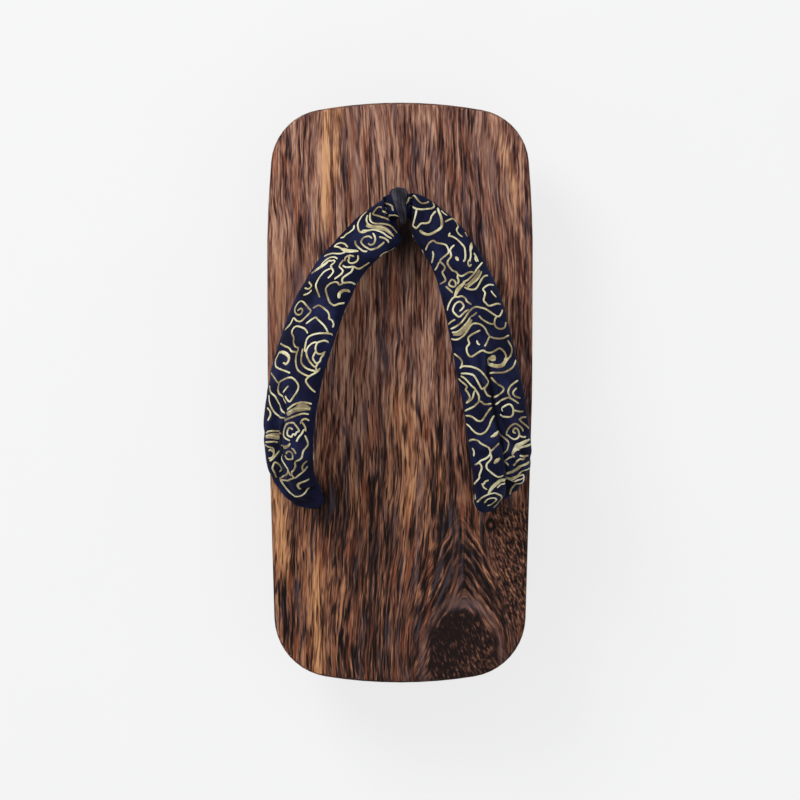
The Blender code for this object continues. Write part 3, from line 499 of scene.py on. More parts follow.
class Num:
    """A number in a shader graph, which adds, multiplies and so on as numbers do."""

    def __init__(self, graph, socket):
        self.graph = graph
        self.socket = socket

    def _do(self, operation, *others):
        return self.graph.math(operation, self, *others)

    def __add__(self, other): return self._do("ADD", other)
    def __sub__(self, other): return self._do("SUBTRACT", other)
    def __mul__(self, other): return self._do("MULTIPLY", other)
    def __truediv__(self, other): return self._do("DIVIDE", other)
    def __radd__(self, other): return self._do("ADD", other)
    def __rsub__(self, other): return self.graph.math("SUBTRACT", other, self)
    def __rtruediv__(self, other): return self.graph.math("DIVIDE", other, self)
    def __neg__(self): return self._do("MULTIPLY", -1.0)
    def __abs__(self): return self._do("ABSOLUTE")
    def max(self, other): return self._do("MAXIMUM", other)
    def min(self, other): return self._do("MINIMUM", other)
    def sin(self): return self._do("SINE")
    def sqrt(self): return self._do("SQRT")

    def step(self, low, high):
        """0 below low, 1 above high and a smooth rise between; low may be the larger one."""
        node = self.graph.node("ShaderNodeMapRange", interpolation_type="SMOOTHSTEP")
        self.graph.put(node.inputs["Value"], self)
        self.graph.put(node.inputs["From Min"], min(low, high))
        self.graph.put(node.inputs["From Max"], max(low, high))
        up = Num(self.graph, node.outputs["Result"])
        return up if low <= high else 1.0 - up

    def bell(self, middle, width):
        """1 at the middle, and down to near 0 past the width on both sides."""
        away = (self - middle) / width
        return self.graph.math("EXPONENT", -(away * away))

    def wave(self, pitch):
        """A sine wave that repeats at each pitch."""
        return (self * (TURN / pitch)).sin()

    def to(self, other, share):
        """This number turned into another by a share."""
        return self + (other - self) * share


class Graph:
    """A material's nodes around one Principled shader."""

    def __init__(self, name):
        self.material = bpy.data.materials.new(name)
        self.material.use_nodes = True
        self.tree = self.material.node_tree
        self.tree.nodes.clear()
        self.shader = self.node("ShaderNodeBsdfPrincipled")
        output = self.node("ShaderNodeOutputMaterial")
        self.tree.links.new(self.shader.outputs["BSDF"], output.inputs["Surface"])

    def node(self, kind, **settings):
        made = self.tree.nodes.new(kind)
        for key, value in settings.items():
            setattr(made, key, value)
        return made

    def put(self, socket, value):
        """Give a socket a number, a colour of three numbers from 0 to 255, or what another socket gives."""
        if isinstance(value, Num):
            value = value.socket
        elif isinstance(value, tuple) and len(value) == 3:
            value = linear(*value)
        if isinstance(value, bpy.types.NodeSocket):
            self.tree.links.new(value, socket)
        else:
            socket.default_value = value

    def math(self, operation, *values):
        made = self.node("ShaderNodeMath", operation=operation)
        for socket, value in zip(made.inputs, values):
            self.put(socket, value)
        return Num(self, made.outputs[0])

    def parts(self, vector):
        """A vector's x, y and z."""
        made = self.node("ShaderNodeSeparateXYZ")
        self.put(made.inputs[0], vector)
        return [Num(self, out) for out in made.outputs]

    def place(self):
        """Where the point is on the piece, as x, y and z in millimetres."""
        return [part / MM for part in self.parts(self.node("ShaderNodeTexCoord").outputs["Object"])]

    def cloth_place(self):
        """Where the point is on the cloth, as u and v in millimetres."""
        u, v, _ = self.parts(self.node("ShaderNodeUVMap", uv_map="cloth").outputs["UV"])
        return u / (UV_PER_METRE * MM), v / (UV_PER_METRE * MM)

    def hollow(self):
        """How far the point of the cloth stands out of its plain shape, in millimetres; minus in a crease."""
        return self.parts(self.node("ShaderNodeUVMap", uv_map="relief").outputs["UV"])[0]

    def normal(self):
        return self.parts(self.node("ShaderNodeNewGeometry").outputs["True Normal"])

    def vector(self, x, y, z=0.0):
        made = self.node("ShaderNodeCombineXYZ")
        for socket, value in zip(made.inputs, (x, y, z)):
            self.put(socket, value)
        return made.outputs[0]

    def noise(self, x, y, z=0.0, detail=2.0, rough=0.5):
        made = self.node("ShaderNodeTexNoise")
        self.put(made.inputs["Vector"], self.vector(x, y, z))
        self.put(made.inputs["Scale"], 1.0)
        self.put(made.inputs["Detail"], detail)
        self.put(made.inputs["Roughness"], rough)
        return Num(self, made.outputs["Fac"])

    def mix(self, share, one, other):
        """One colour turned into the other by a share, which may be a number in the graph."""
        made = self.node("ShaderNodeMix", data_type="RGBA", clamp_factor=True)
        # The node has a pair of inputs for each type of data. The colours are inputs 6 and 7, and output 2.
        for socket, value in ((made.inputs[0], share), (made.inputs[6], one), (made.inputs[7], other)):
            self.put(socket, value)
        return made.outputs[2]

    def ramp(self, share, *stops):
        """A colour from (share, colour) stops, the colours from 0 to 255."""
        made = self.node("ShaderNodeValToRGB")
        elements = made.color_ramp.elements
        while len(elements) < len(stops):
            elements.new(0.5)
        for element, (at, colour) in zip(elements, stops):
            element.position = at
            element.color = linear(*colour)
        self.put(made.inputs["Fac"], share)
        return made.outputs["Color"]

    def bump(self, height, distance, strength, under=None):
        """Relief of that distance in metres, for a height from 0 to 1."""
        made = self.node("ShaderNodeBump")
        self.put(made.inputs["Height"], height)
        self.put(made.inputs["Distance"], distance)
        self.put(made.inputs["Strength"], strength)
        if under is not None:
            self.put(made.inputs["Normal"], under)
        return made.outputs["Normal"]

    def finish(self, colour, roughness, normal=None, **fixed):
        self.put(self.shader.inputs["Base Color"], colour)
        self.put(self.shader.inputs["Roughness"], roughness)
        if normal is not None:
            self.put(self.shader.inputs["Normal"], normal)
        for name, value in fixed.items():
            self.shader.inputs[name.replace("_", " ")].default_value = value
        return self.material


# The wood, in millimetres. A knot turns the grain aside: its middle, half width, and length over width.
Knot = namedtuple("Knot", "x y half stretch")
KNOTS = (
    Knot(28.3, -121, 15.5, 1.45),
    Knot(41.5, -60.4, 1.7, 1.2),
)
# Streaks of bare light wood and of smooth grey wood, from one point to another
Streak = namedtuple("Streak", "x y to_x to_y half strength")
TAN_STREAKS = (
    (-32.4, 140, -34.6, 74, 2.6, 1.0),
    (-27.6, 140, -29.6, 96, 2.4, 0.8),
    (-56.0, 66, -54.6, 30, 3.0, 0.35),
    (0.5, 4, 3.5, -58, 8.5, 0.38),
    (-37.2, 84, -37.8, 68, 1.8, 0.6),
    (-57.0, -38, -54.5, -84, 4.2, 0.8),
    (-38.0, -76, -38.8, -136, 2.6, 0.8),
    (-20.0, -30, -20.2, -62, 1.6, 0.45),
    (3.6, -14, 4.4, -44, 2.2, 0.45),
    (15.5, -18, 19.5, -50, 1.6, 0.45),
    (47.0, 116, 53.5, 84, 2.4, 0.5),
    (45.0, 60, 47.0, 30, 1.8, 0.3),
)
GREY_STREAKS = (
    (-21.5, 134, -18.6, 78, 2.2, 0.7),
    (36.4, 132, 42.0, 92, 3.4, 0.8),
    (42.0, 94, 46.0, 52, 2.6, 0.5),
    (-13.0, 8, -8.0, -22, 4.5, 0.5),
)
# The arch that the grain makes over the large knot: its middle line and its top
ARCH_X = 26.5
ARCH_TOP_Y = -50.0
# Where the toe's reddish wood turns into the heel's darker wood, and where a painted shadow lies under the strap at
# the toe loop
HEEL_Y = (25.0, -70.0)
SHADOW_X, SHADOW_Y = 3.0, 71.0
# How much paler and darker than its mean the grain may be, at the toe and more at the heel, and its mean
CONTRAST, HEEL_CONTRAST, MEAN = 2.15, 0.35, 0.515


def streak_mask(g, x, y, streaks):
    """How much of the point lies in any of the streaks, with tapered ends and a wavy edge."""
    wave = (g.noise(x * 0.05, y * 0.03, 3.0) - 0.5) * 5.0
    total = None
    for s in map(Streak._make, streaks):
        slope = (s.to_x - s.x) / (s.to_y - s.y)
        middle = (y - s.y) * slope + s.x + wave
        ends = y.step(s.to_y - 7, s.to_y + 9) * y.step(s.y + 7, s.y - 9)
        part = (x - middle).bell(0.0, s.half) * ends * s.strength
        total = part if total is None else total.max(part)
    return total


def fibre_field(g, across, along, depth, deep, calm):
    """Brushed fibres, from 0 in a groove to 1 on a ridge. deep darkens the grooves, and calm takes out the cracks."""
    sway = (g.noise(across * 0.09, along * 0.030, depth * 0.1) - 0.5) * 3.4
    c = across + sway
    band = g.noise(c * 0.17, along * 0.010 + 3.0, depth * 0.2, rough=0.55)
    medium = g.noise(c * 0.74, along * 0.052 + 17.0, depth * 0.8, rough=0.62)
    fine = g.noise(c * 1.75, along * 0.15 + 41.0, depth * 1.6, detail=1.0, rough=0.6)
    groove = g.noise(c * 0.95, along * 0.085 + 61.0, depth * 1.2, detail=1.0).step(0.43, 0.30)
    # Long thin cracks with a pale lip, which come and go
    crack = g.noise(c * 0.40, along * 0.017 + 90.0, depth * 0.3, rough=0.45)
    here = g.noise(c * 0.2, along * 0.035 + 120.0, depth * 0.2).step(0.40, 0.54) * (1.0 - calm)
    field = band * 0.22 + medium * 0.46 + fine * 0.32 - groove * deep
    return field + (crack.bell(0.57, 0.035) * 0.06 - crack.bell(0.5, 0.035) * 0.13) * here


def wood_material():
    g = Graph("scorched_wood")
    x, y, z = g.place()
    _, ny, nz = g.normal()

    # The grain runs along the board, bends past each knot, and arches over the large one.
    across = x + (g.noise(x * 0.022, y * 0.012, z * 0.02) - 0.5) * 9.0
    cores = []
    for knot in KNOTS:
        kx = x - knot.x
        ky = (y - knot.y) / knot.stretch
        radius = (kx * kx + ky * ky).sqrt() / knot.half
        pull = 1.0 / (radius * radius).max(1.0)
        across = across - kx * pull
        cores.append(radius)
    rough_radius = cores[0] + (g.noise(x * 0.12, y * 0.12, 5.0) - 0.5) * 0.22
    core = rough_radius.step(1.02, 0.90)
    ring = rough_radius.bell(1.17, 0.11)

    below = ARCH_TOP_Y - y
    from_arch = ((x - ARCH_X) * (x - ARCH_X) + 6.0).sqrt()
    reach = (below * 0.45 + 4.0).min(22.0)
    in_arch = (reach - from_arch + (g.noise(x * 0.08, y * 0.06, 2.0) - 0.5) * 10.0).step(-3.0, 6.0)
    in_arch = in_arch * below.step(-6.0, 6.0)

    deep = 0.05 + y.step(50.0, -10.0) * 0.11
    fibres = fibre_field(g, across, y, z, deep, rough_radius.step(2.2, 1.3)) + 0.035
    # The large knot and the wood right of it are speckled.
    speckle = g.noise(x * 0.95 + y * 0.42, y * 0.27 - x * 0.14, z * 0.5, rough=0.6)
    speckle = speckle + 0.01
    right_heel = x.step(37.0, 46.0) * y.step(-46.0, -58.0) * y.step(-116.0, -96.0) * nz.step(0.3, 0.8)
    fibres = fibres.to(speckle, (core * 0.8).max(right_heel * 0.8))
    # Short dashes lean towards the arch's middle line on both sides of it.
    sway = (g.noise(x * 0.12, y * 0.08, z * 0.1 + 7.0) - 0.5) * 3.0
    lean = from_arch * 0.92 - below * (0.36 + (x - ARCH_X).step(-4.0, 4.0) * 0.16) + sway
    dashes = g.noise(lean * 0.72, (below * 0.92 + from_arch * 0.36) * 0.11, z * 0.4, rough=0.62)
    fibres = fibres.to(dashes - 0.01, in_arch * (0.85 - (x - ARCH_X).bell(0.0, 4.0) * 0.55) * (1.0 - core))

    # End grain shows where the face looks along the board.
    end = abs(ny).step(0.55, 0.8)
    rings = ((x - ARCH_X) * (x - ARCH_X) + (z + 46.0) * (z + 46.0)).sqrt()
    rings = rings + (g.noise(x * 0.05, y * 0.02, z * 0.05) - 0.5) * 10.0
    end_grain = g.noise(rings * 0.75, x * 0.05, z * 0.05, detail=3.0, rough=0.6)
    pores = g.noise(x * 1.3, z * 1.3, y * 0.2, rough=0.7)
    fibres = fibres.to(end_grain * 0.62 + pores * 0.38, end)

    tan = streak_mask(g, x, y, TAN_STREAKS)
    grey = streak_mask(g, x, y, GREY_STREAKS)
    patches = g.noise(x * 0.045, y * 0.017, z * 0.03, detail=3.0, rough=0.6)
    heel = y.step(*HEEL_Y)

    # How pale the wood is, from the fibres and then from each place's own tone
    value = (fibres - 0.5) * (CONTRAST + heel * HEEL_CONTRAST) + MEAN
    value = value + (patches - 0.5) * 0.5 + tan * 0.26 - heel * 0.10 - 0.035 - in_arch * 0.03
    value = value - x.step(0.0, 30.0) * (1.0 - heel) * 0.03
    # Painted light: the middle of the board, under the strap's arms, is paler to lift their shadow.
    value = value + y.step(45.0, 20.0) * y.step(-75.0, -45.0) * 0.06
    value = value - heel * (x + 5.0).bell(0.0, 20.0) * 0.035
    value = value - core * (0.08 + (y + 112.0).step(-12.0, 8.0) * 0.16) - ring * 0.02
    # The left side is smoother beside the strap.
    side = x.step(-38.0, -47.0) * y.step(72.0, 55.0) * y.step(-30.0, -8.0)
    value = value.to(0.47, side * 0.42)
    smooth = (grey * 0.7).max(ring * 0.7)
    value = value.to(0.55 + (patches - 0.5) * 0.3, smooth * 0.75)

    toe_wood = g.ramp(
        value,
        (0.14, (22, 11, 11)),
        (0.33, (64, 38, 33)),
        (0.48, (113, 75, 62)),
        (0.61, (147, 105, 86)),
        (0.80, (186, 144, 120)),
    )
    heel_wood = g.ramp(
        value,
        (0.16, (17, 8, 7)),
        (0.35, (48, 28, 22)),
        (0.50, (87, 56, 44)),
        (0.64, (126, 83, 62)),
        (0.84, (168, 118, 84)),
    )
    colour = g.mix(heel, toe_wood, heel_wood)
    tint = g.noise(across * 0.42, y * 0.032, z * 0.3 + 70.0, rough=0.6)
    plain = (1.0 - core) * (1.0 - right_heel)
    colour = g.mix(tint.step(0.54, 0.70) * plain * 0.40, colour, (88, 78, 88))
    colour = g.mix(tint.step(0.45, 0.30) * plain * 0.38, colour, (158, 86, 54))
    golden = g.ramp(value, (0.22, (70, 38, 22)), (0.5, (158, 106, 68)), (0.85, (220, 164, 112)))
    colour = g.mix(tan * 0.7, colour, golden)
    colour = g.mix(smooth * 0.45, colour, g.ramp(value, (0.3, (84, 62, 58)), (0.7, (140, 112, 104))))
    colour = g.mix(core * 0.55, colour, g.ramp(value, (0.30, (30, 17, 15)), (0.72, (108, 70, 58))))
    colour = g.mix(cores[1].bell(1.0, 0.6), colour, (9, 4, 4))
    colour = g.mix(cores[1].step(0.50, 0.25), colour, (124, 62, 54))
    # Painted shadow under the strap, where its arms come together at the toe loop
    strap_shadow = (x - SHADOW_X).bell(0.0, 12.0) * (y - SHADOW_Y).bell(0.0, 14.0)
    colour = g.mix(strap_shadow * 0.96, colour, (14, 8, 9))
    # Painted shade: faces that turn from the top towards the side are darker. End grain is darker too.
    side_shade = nz.step(0.97, 0.5) * nz.step(-0.6, 0.1)
    colour = g.mix(side_shade * 0.45, colour, (44, 26, 20))
    colour = g.mix(end * 0.35, colour, (50, 32, 24))

    height = (fibres - 0.5) * 1.7 + 0.5
    grain = g.bump(height * (1.0 - smooth * 0.5), 0.55 * MM, 0.75)
    normal = g.bump(g.noise(x * 3.0, y * 1.1, z * 3.0), 0.08 * MM, 0.5, grain)
    roughness = 0.56 + (1.0 - fibres) * 0.22
    return g.finish(colour, roughness, normal, Specular_IOR_Level=0.12)


def cloth_material():
    g = Graph("cloud_cloth")
    u, v = g.cloth_place()
    slub = g.noise(u * 0.35, v * 2.2, 1.0)
    weave = u.wave(0.62) * v.wave(0.55) * 0.5 + 0.5
    wear = g.noise(u * 0.07, v * 0.09, 4.0, detail=3.0, rough=0.6)
    colour = g.ramp(
        wear,
        (0.30, (9, 10, 27)),
        (0.50, (17, 20, 47)),
        (0.66, (31, 36, 70)),
    )
    hue = g.noise(u * 0.16, v * 0.2, 11.0)
    colour = g.mix(hue.step(0.55, 0.70) * 0.45, colour, (34, 27, 60))
    colour = g.mix(hue.step(0.45, 0.32) * 0.35, colour, (18, 30, 42))
    colour = g.mix(weave * 0.30, colour, (8, 8, 19))
    colour = g.mix(slub.step(0.60, 0.75) * 0.2, colour, (44, 47, 72))
    # Painted shade darkens the creases, and a painted highlight makes the ridges a little paler.
    out = g.hollow()
    colour = g.mix(out.step(0.08, 0.45) * 0.30, colour, (52, 56, 84))
    colour = g.mix(out.step(-0.10, -0.85) * 0.85, colour, (3, 3, 7))
    height = weave * 0.6 + slub * 0.4
    folds = g.bump(g.noise(u * 0.30, v * 0.32, 2.0), 0.5 * MM, 0.35)
    normal = g.bump(height, 0.12 * MM, 0.6, folds)
    return g.finish(
        colour, 0.8, normal, Sheen_Weight=0.05, Sheen_Roughness=0.5, Sheen_Tint=linear(110, 116, 150),
        Specular_IOR_Level=0.08,
    )


def thread_material(name, dark, pale, bright):
    g = Graph(name)
    s, t = g.cloth_place()
    stitch = (s * (TURN / 0.55) + t * 3.0).sin() * 0.5 + 0.5
    x, y, z = g.place()
    wear = g.noise(x * 0.12, y * 0.12, z * 0.12, detail=3.0, rough=0.6)
    colour = g.ramp(wear, (0.38, dark), (0.5, pale), (0.61, bright))
    colour = g.mix((1.0 - stitch) * 0.35, colour, (96, 82, 58))
    # Painted shade darkens the thread in the creases.
    colour = g.mix(g.hollow().step(-0.20, -1.1) * 0.75, colour, (30, 26, 26))
    normal = g.bump(stitch, 0.10 * MM, 0.7)
    return g.finish(
        colour, 0.46, normal, Sheen_Weight=0.05, Sheen_Roughness=0.4, Specular_IOR_Level=0.3, Anisotropic=0.3,
    )


def ribbed_material():
    g = Graph("black_cloth")
    u, v = g.cloth_place()
    rib = (v * (TURN / 0.8) + (g.noise(u * 0.3, v * 0.3) - 0.5) * 3.0).sin() * 0.5 + 0.5
    cross = u.wave(0.5) * 0.5 + 0.5
    wear = g.noise(u * 0.2, v * 0.4, 3.0, detail=3.0)
    colour = g.ramp(wear, (0.3, (20, 19, 25)), (0.5, (44, 42, 51)), (0.68, (84, 80, 92)))
    colour = g.mix((1.0 - rib) * 0.5, colour, (8, 8, 12))
    normal = g.bump(rib * 0.7 + cross * 0.3, 0.16 * MM, 0.7)
    return g.finish(
        colour, 0.8, normal, Sheen_Weight=0.15, Sheen_Roughness=0.5, Sheen_Tint=linear(110, 116, 140),
        Specular_IOR_Level=0.15,
    )


def cord_material():
    g = Graph("black_cord")
    u, v = g.cloth_place()
    fibre = g.noise(u * 0.5 + v * 1.1, v * 2.4 - u * 2.0, 1.0, detail=3.0, rough=0.65)
    twist = (u * 1.1 + v * 1.6).wave(1.0) * 0.5 + 0.5
    colour = g.ramp(fibre, (0.3, (12, 12, 14)), (0.55, (30, 30, 34)), (0.75, (72, 70, 70)))
    normal = g.bump(fibre * 0.6 + twist * 0.4, 0.25 * MM, 0.7)
    return g.finish(
        colour, 0.85, normal, Sheen_Weight=0.25, Sheen_Roughness=0.6, Specular_IOR_Level=0.25,
    )


# Meshes


def cloth_mesh(name, points, faces, uvs, material):
    """A smooth mesh with its places on the cloth, in metres, in a UV map."""
    mesh = bpy.data.meshes.new(name)
    mesh.from_pydata(points, [], faces)
    mesh.uv_layers.new(name="cloth").data.foreach_set("uv", (np.array(uvs) * UV_PER_METRE).ravel())
    mesh.update()
    mesh.shade_smooth()
    mesh.materials.append(material)
    return mesh


def skin(name, grid, cloth, material, closed_along=False):
    """A smooth tube through a grid of rings. cloth gives (u, v) in metres, with one more column than the grid."""
    rows, columns = grid.shape[:2]
    last = rows if closed_along else rows - 1
    faces, uvs = [], []
    for i in range(last):
        k = (i + 1) % rows
        for j in range(columns):
            m = (j + 1) % columns
            faces.append((i * columns + j, i * columns + m, k * columns + m, k * columns + j))
            uvs.extend((cloth[i, j], cloth[i, j + 1], cloth[i + 1, j + 1], cloth[i + 1, j]))
    if not closed_along:
        faces.append(tuple(range(columns))[::-1])
        uvs.extend(cloth[0, j] for j in range(columns)[::-1])
        faces.append(tuple((rows - 1) * columns + j for j in range(columns)))
        uvs.extend(cloth[rows - 1, j] for j in range(columns))
    mesh = cloth_mesh(name, grid.reshape(-1, 3).tolist(), faces, uvs, material)
    edit = bmesh.new()
    edit.from_mesh(mesh)
    bmesh.ops.recalc_face_normals(edit, faces=edit.faces)
    edit.to_mesh(mesh)
    edit.free()
    return link(bpy.data.objects.new(name, mesh))


def keep_relief(mesh, values):
    """Keep one number for each vertex where the shader can read it, in a UV map."""
    index = np.empty(len(mesh.loops), int)
    mesh.loops.foreach_get("vertex_index", index)
    layer = mesh.uv_layers.new(name="relief")
    layer.data.foreach_set("uv", np.stack([values[index], 0 * values[index]], axis=1).ravel())


def cloth_grid(along, around):
    """(u, v) for each corner of a tube's grid, from the distances along it and round it."""
    u, v = np.meshgrid(along, around, indexing="ij")
    return np.stack([u, v], axis=2)


def frames(path, closed=False):
    """Two unit vectors across a path at each of its points, which turn as little as they can."""
    path = np.asarray(path, float)
    ahead = np.roll(path, -1, axis=0) - np.roll(path, 1, axis=0)
    if not closed:
        ahead[0] = path[1] - path[0]
        ahead[-1] = path[-1] - path[-2]
    ahead = unit(ahead)
    start = np.cross(ahead[0], (0, 0, 1.0))
    if np.linalg.norm(start) < 0.1:
        start = np.cross(ahead[0], (0, 1.0, 0))
    sides = [start / np.linalg.norm(start)]
    for direction in ahead[1:]:
        side = sides[-1] - direction * np.dot(sides[-1], direction)
        sides.append(side / np.linalg.norm(side))
    sides = np.array(sides)
    ups = np.cross(ahead, sides)
    if closed:
        # Share out the turn that is left after one round, so that the last ring meets the first.
        side = sides[-1] - ahead[0] * np.dot(sides[-1], ahead[0])
        left = math.atan2(np.dot(np.cross(side, sides[0]), ahead[0]), np.dot(side, sides[0]))
        turn = np.linspace(0, left, len(path))[:, None]
        sides, ups = sides * np.cos(turn) + ups * np.sin(turn), ups * np.cos(turn) - sides * np.sin(turn)
    return sides, ups


def smooth_curve(points, fine):
    """Fine steps along a Catmull-Rom curve, from the second point to the last but one."""
    curve = []
    for a, b, c, d in zip(points, points[1:], points[2:], points[3:]):
        for t in np.arange(fine) / fine:
            curve.append(0.5 * (
                2 * b + (c - a) * t + (2 * a - 5 * b + 4 * c - d) * t**2 + (3 * b - a - 3 * c + d) * t**3
            ))
    return np.array([*curve, points[-2]])


def unit(vectors):
    """The same directions, each with a length of 1."""
    return vectors / np.maximum(np.linalg.norm(vectors, axis=-1, keepdims=True), 1e-12)


def distances(points):
    """How far along a line each of its points is."""
    return np.concatenate([[0], np.cumsum(np.linalg.norm(np.diff(points, axis=0), axis=1))])


def resample(points, step, closed=False):
    """Points a step apart along a smooth curve through the given ones."""
    points = np.asarray(points, float)
    if closed:
        padded = np.vstack([points[-1:], points, points[:2]])
    else:
        padded = np.vstack([2 * points[0] - points[1], points, 2 * points[-1] - points[-2]])
    curve = smooth_curve(padded, 16)
    gone = distances(curve)
    count = max(3, round(gone[-1] / step) + 1)
    at = np.linspace(0, gone[-1], count)
    even = np.stack([np.interp(at, gone, curve[:, k]) for k in range(curve.shape[1])], axis=1)
    return (even[:-1], at) if closed else (even, at)


def rope(name, points, radius, material, closed=False):
    """A twisted cord along a path: strands wound round each other."""
    path, gone = resample(points, radius * 0.28, closed)
    side, up = frames(path, closed)
    length = gone[-1]
    turns = length / (LAY * 2 * radius)
    if closed:
        turns = max(1, round(turns))
    angle = np.linspace(0, TURN, CORD_SIDES, endpoint=False)
    rings = []
    for i, centre in enumerate(path):
        twist = TURN * turns * gone[i] / length
        reach = radius * (0.76 + 0.24 * np.abs(np.cos(STRANDS / 2 * (angle - twist))))
        rings.append(
            centre + side[i] * (reach * np.cos(angle))[:, None] + up[i] * (reach * np.sin(angle))[:, None]
        )
    around = np.linspace(0, TURN * radius, CORD_SIDES + 1)
    return skin(name, np.array(rings), cloth_grid(gone, around), material, closed_along=closed)


def joined(name, objects):
    """One piece from several meshes that share their material."""
    edit = bmesh.new()
    for obj in objects:
        edit.from_mesh(obj.data)
    mesh = objects[0].data
    edit.to_mesh(mesh)
    edit.free()
    for obj in objects[1:]:
        bpy.data.objects.remove(obj)
    objects[0].name = name
    return objects[0]


# The strap


def arm_rows(rows, side):
    """One arm's sections: centre, width, thickness, turn, roll and fold, from the neck to the hole."""
    out = []
    for row in map(Section._make, rows):
        out.append((
            side * (NECK_HALF_LENGTH + row.aside * (REAR_HOLE_X - NECK_HALF_LENGTH)),
            FRONT_HOLE_Y + row.along * (REAR_HOLE_Y - FRONT_HOLE_Y),
            BOARD_TOP + NECK_HEIGHT * (1 - row.along) + STRAP_BOW * row.bow,
            NECK_WIDTH + row.width * (STRAP_WIDTH - NECK_WIDTH),
            NECK_THICKNESS + row.thickness * (STRAP_THICKNESS - NECK_THICKNESS),
            side * row.turn,
            row.roll,
            row.fold * FOLD_DEPTH,
        ))
    entry = (
        (STRAP_ENTRY_HEIGHT, FILL_DIAMETER + STRAP_ENTRY_SWELL),
        (-HOLE_GAP, FILL_DIAMETER),
        (-STRAP_END_IN_HOLE, FILL_DIAMETER),
    )
    for height, diameter in entry:
        centre = (side * REAR_HOLE_X, REAR_HOLE_Y, BOARD_TOP + height)
        out.append((*centre, diameter, diameter, side * row.turn, 0, 0))
    return out


def strap_line(pace, signed_roll):
    """The strap's sections at even paces from the left hole to the right one, and u at each of them.

    The part's skin is smoothed with rolls that have opposite signs on the two arms, and the cloth's with equal ones.
    """
    left = arm_rows(LEFT_ARM, -1)[::-1]
    right = arm_rows(RIGHT_ARM, 1)
    neck = [
        (x, FRONT_HOLE_Y, BOARD_TOP + NECK_HEIGHT, NECK_WIDTH, NECK_THICKNESS, 0, 0, 0)
        for x in (-NECK_HALF_LENGTH, 0, NECK_HALF_LENGTH)
    ]
    rows = np.array(left + neck + right, dtype=float)
    if signed_roll:
        rows[:, 6] *= np.sign(rows[:, 0])
    fine = smooth_curve(np.vstack([rows[:1], rows, rows[-1:]]), 12)
    # Count the way square to each section, because the sections turn faster than the line near the neck.
    heading = np.radians((fine[1:, 5] + fine[:-1, 5]) / 2)
    outward = np.stack([np.sin(heading), np.cos(heading), 0 * heading], axis=1)
    move = np.diff(fine[:, :3], axis=0)
    move = move - (move * outward).sum(1)[:, None] * outward
    gone = np.concatenate([[0], np.cumsum(np.maximum(np.linalg.norm(move, axis=1), 0.02 * MM))])
    middle = gone[np.argmin(np.abs(fine[:, 0]) + np.abs(fine[:, 1] - FRONT_HOLE_Y))]
    u = np.arange(0, gone[-1], pace)
    sections = np.stack([np.interp(u, gone, fine[:, k]) for k in range(8)], axis=1)
    if signed_roll:
        sections[:, 6] = np.abs(sections[:, 6])
    ahead = np.stack([np.interp(u, gone, np.gradient(fine[:, k])) for k in range(3)], axis=1)
    return u - middle, sections, unit(ahead)


def bell(x):
    """1 at 0, and down to near 0 past 1 on both sides."""
    return np.exp(-(x**2))


def squared(wave, power):
    """A cosine or sine that makes an oval with fuller corners, for a power under 1."""
    return np.sign(wave) * np.abs(wave) ** power


def strap_ring(section, ahead, shares):
    """Points round one section, at shares of the way round it from the middle of its top, and the way round it."""
    centre = section[:3]
    width, thickness, turn, roll, fold = section[3:]
    heading = math.radians(turn)
    outward = np.array([math.sin(heading), math.cos(heading), 0.0])
    up = np.cross(ahead, outward)
    up /= np.linalg.norm(up)
    tip = math.radians(roll)
    across = outward * math.cos(tip) - up * math.sin(tip)
    normal = up * math.cos(tip) + outward * math.sin(tip)
    angle = np.linspace(0, TURN, 721)
    a = width / 2 * squared(np.cos(angle), STRAP_ROUNDNESS)
    b = thickness / 2 * squared(np.sin(angle), STRAP_ROUNDNESS)
    from_fold = (a - FOLD_ACROSS * width / 2) / FOLD_SPREAD
    b = b - np.where(b > 0, fold * bell(from_fold), 0)
    gone = np.concatenate([[0], np.cumsum(np.hypot(np.diff(a), np.diff(b)))])
    top = np.interp(math.pi / 2, angle, gone)
    at = (top - shares * gone[-1]) % gone[-1]
    a, b = np.interp(at, gone, a), np.interp(at, gone, b)
    return centre + across * a[:, None] + normal * b[:, None], gone[-1]


def bunch(u, shares):
    """The cloth bunches up at the left arm's inner edge beside the toe loop."""
    u = u / MM
    amount = BUNCH_SIZE * bell((u - BUNCH_U) / BUNCH_LENGTH) * np.clip((BUNCH_END_U - u) / BUNCH_FADE, 0, 1)
    edge = bell((shares - BUNCH_PLACE) / BUNCH_WIDTH)
    return amount[:, None, None] * edge[None, :, None] * np.array(BUNCH_DIRECTION)


def plain_skin(pace, sides, signed_roll=False):
    """The strap's skin without its creases: u, the shares round it, the way round at each u, and the points."""
    u, sections, ahead = strap_line(pace, signed_roll)
    shares = np.linspace(-0.5, 0.5, sides, endpoint=False)
    rings, rounds = zip(*(strap_ring(s, a, shares) for s, a in zip(sections, ahead)))
    return u, shares, np.array(rounds), np.array(rings) + bunch(u, shares)


def pairs(line):
    return [(line[i], line[i + 1]) for i in range(0, len(line), 2)]


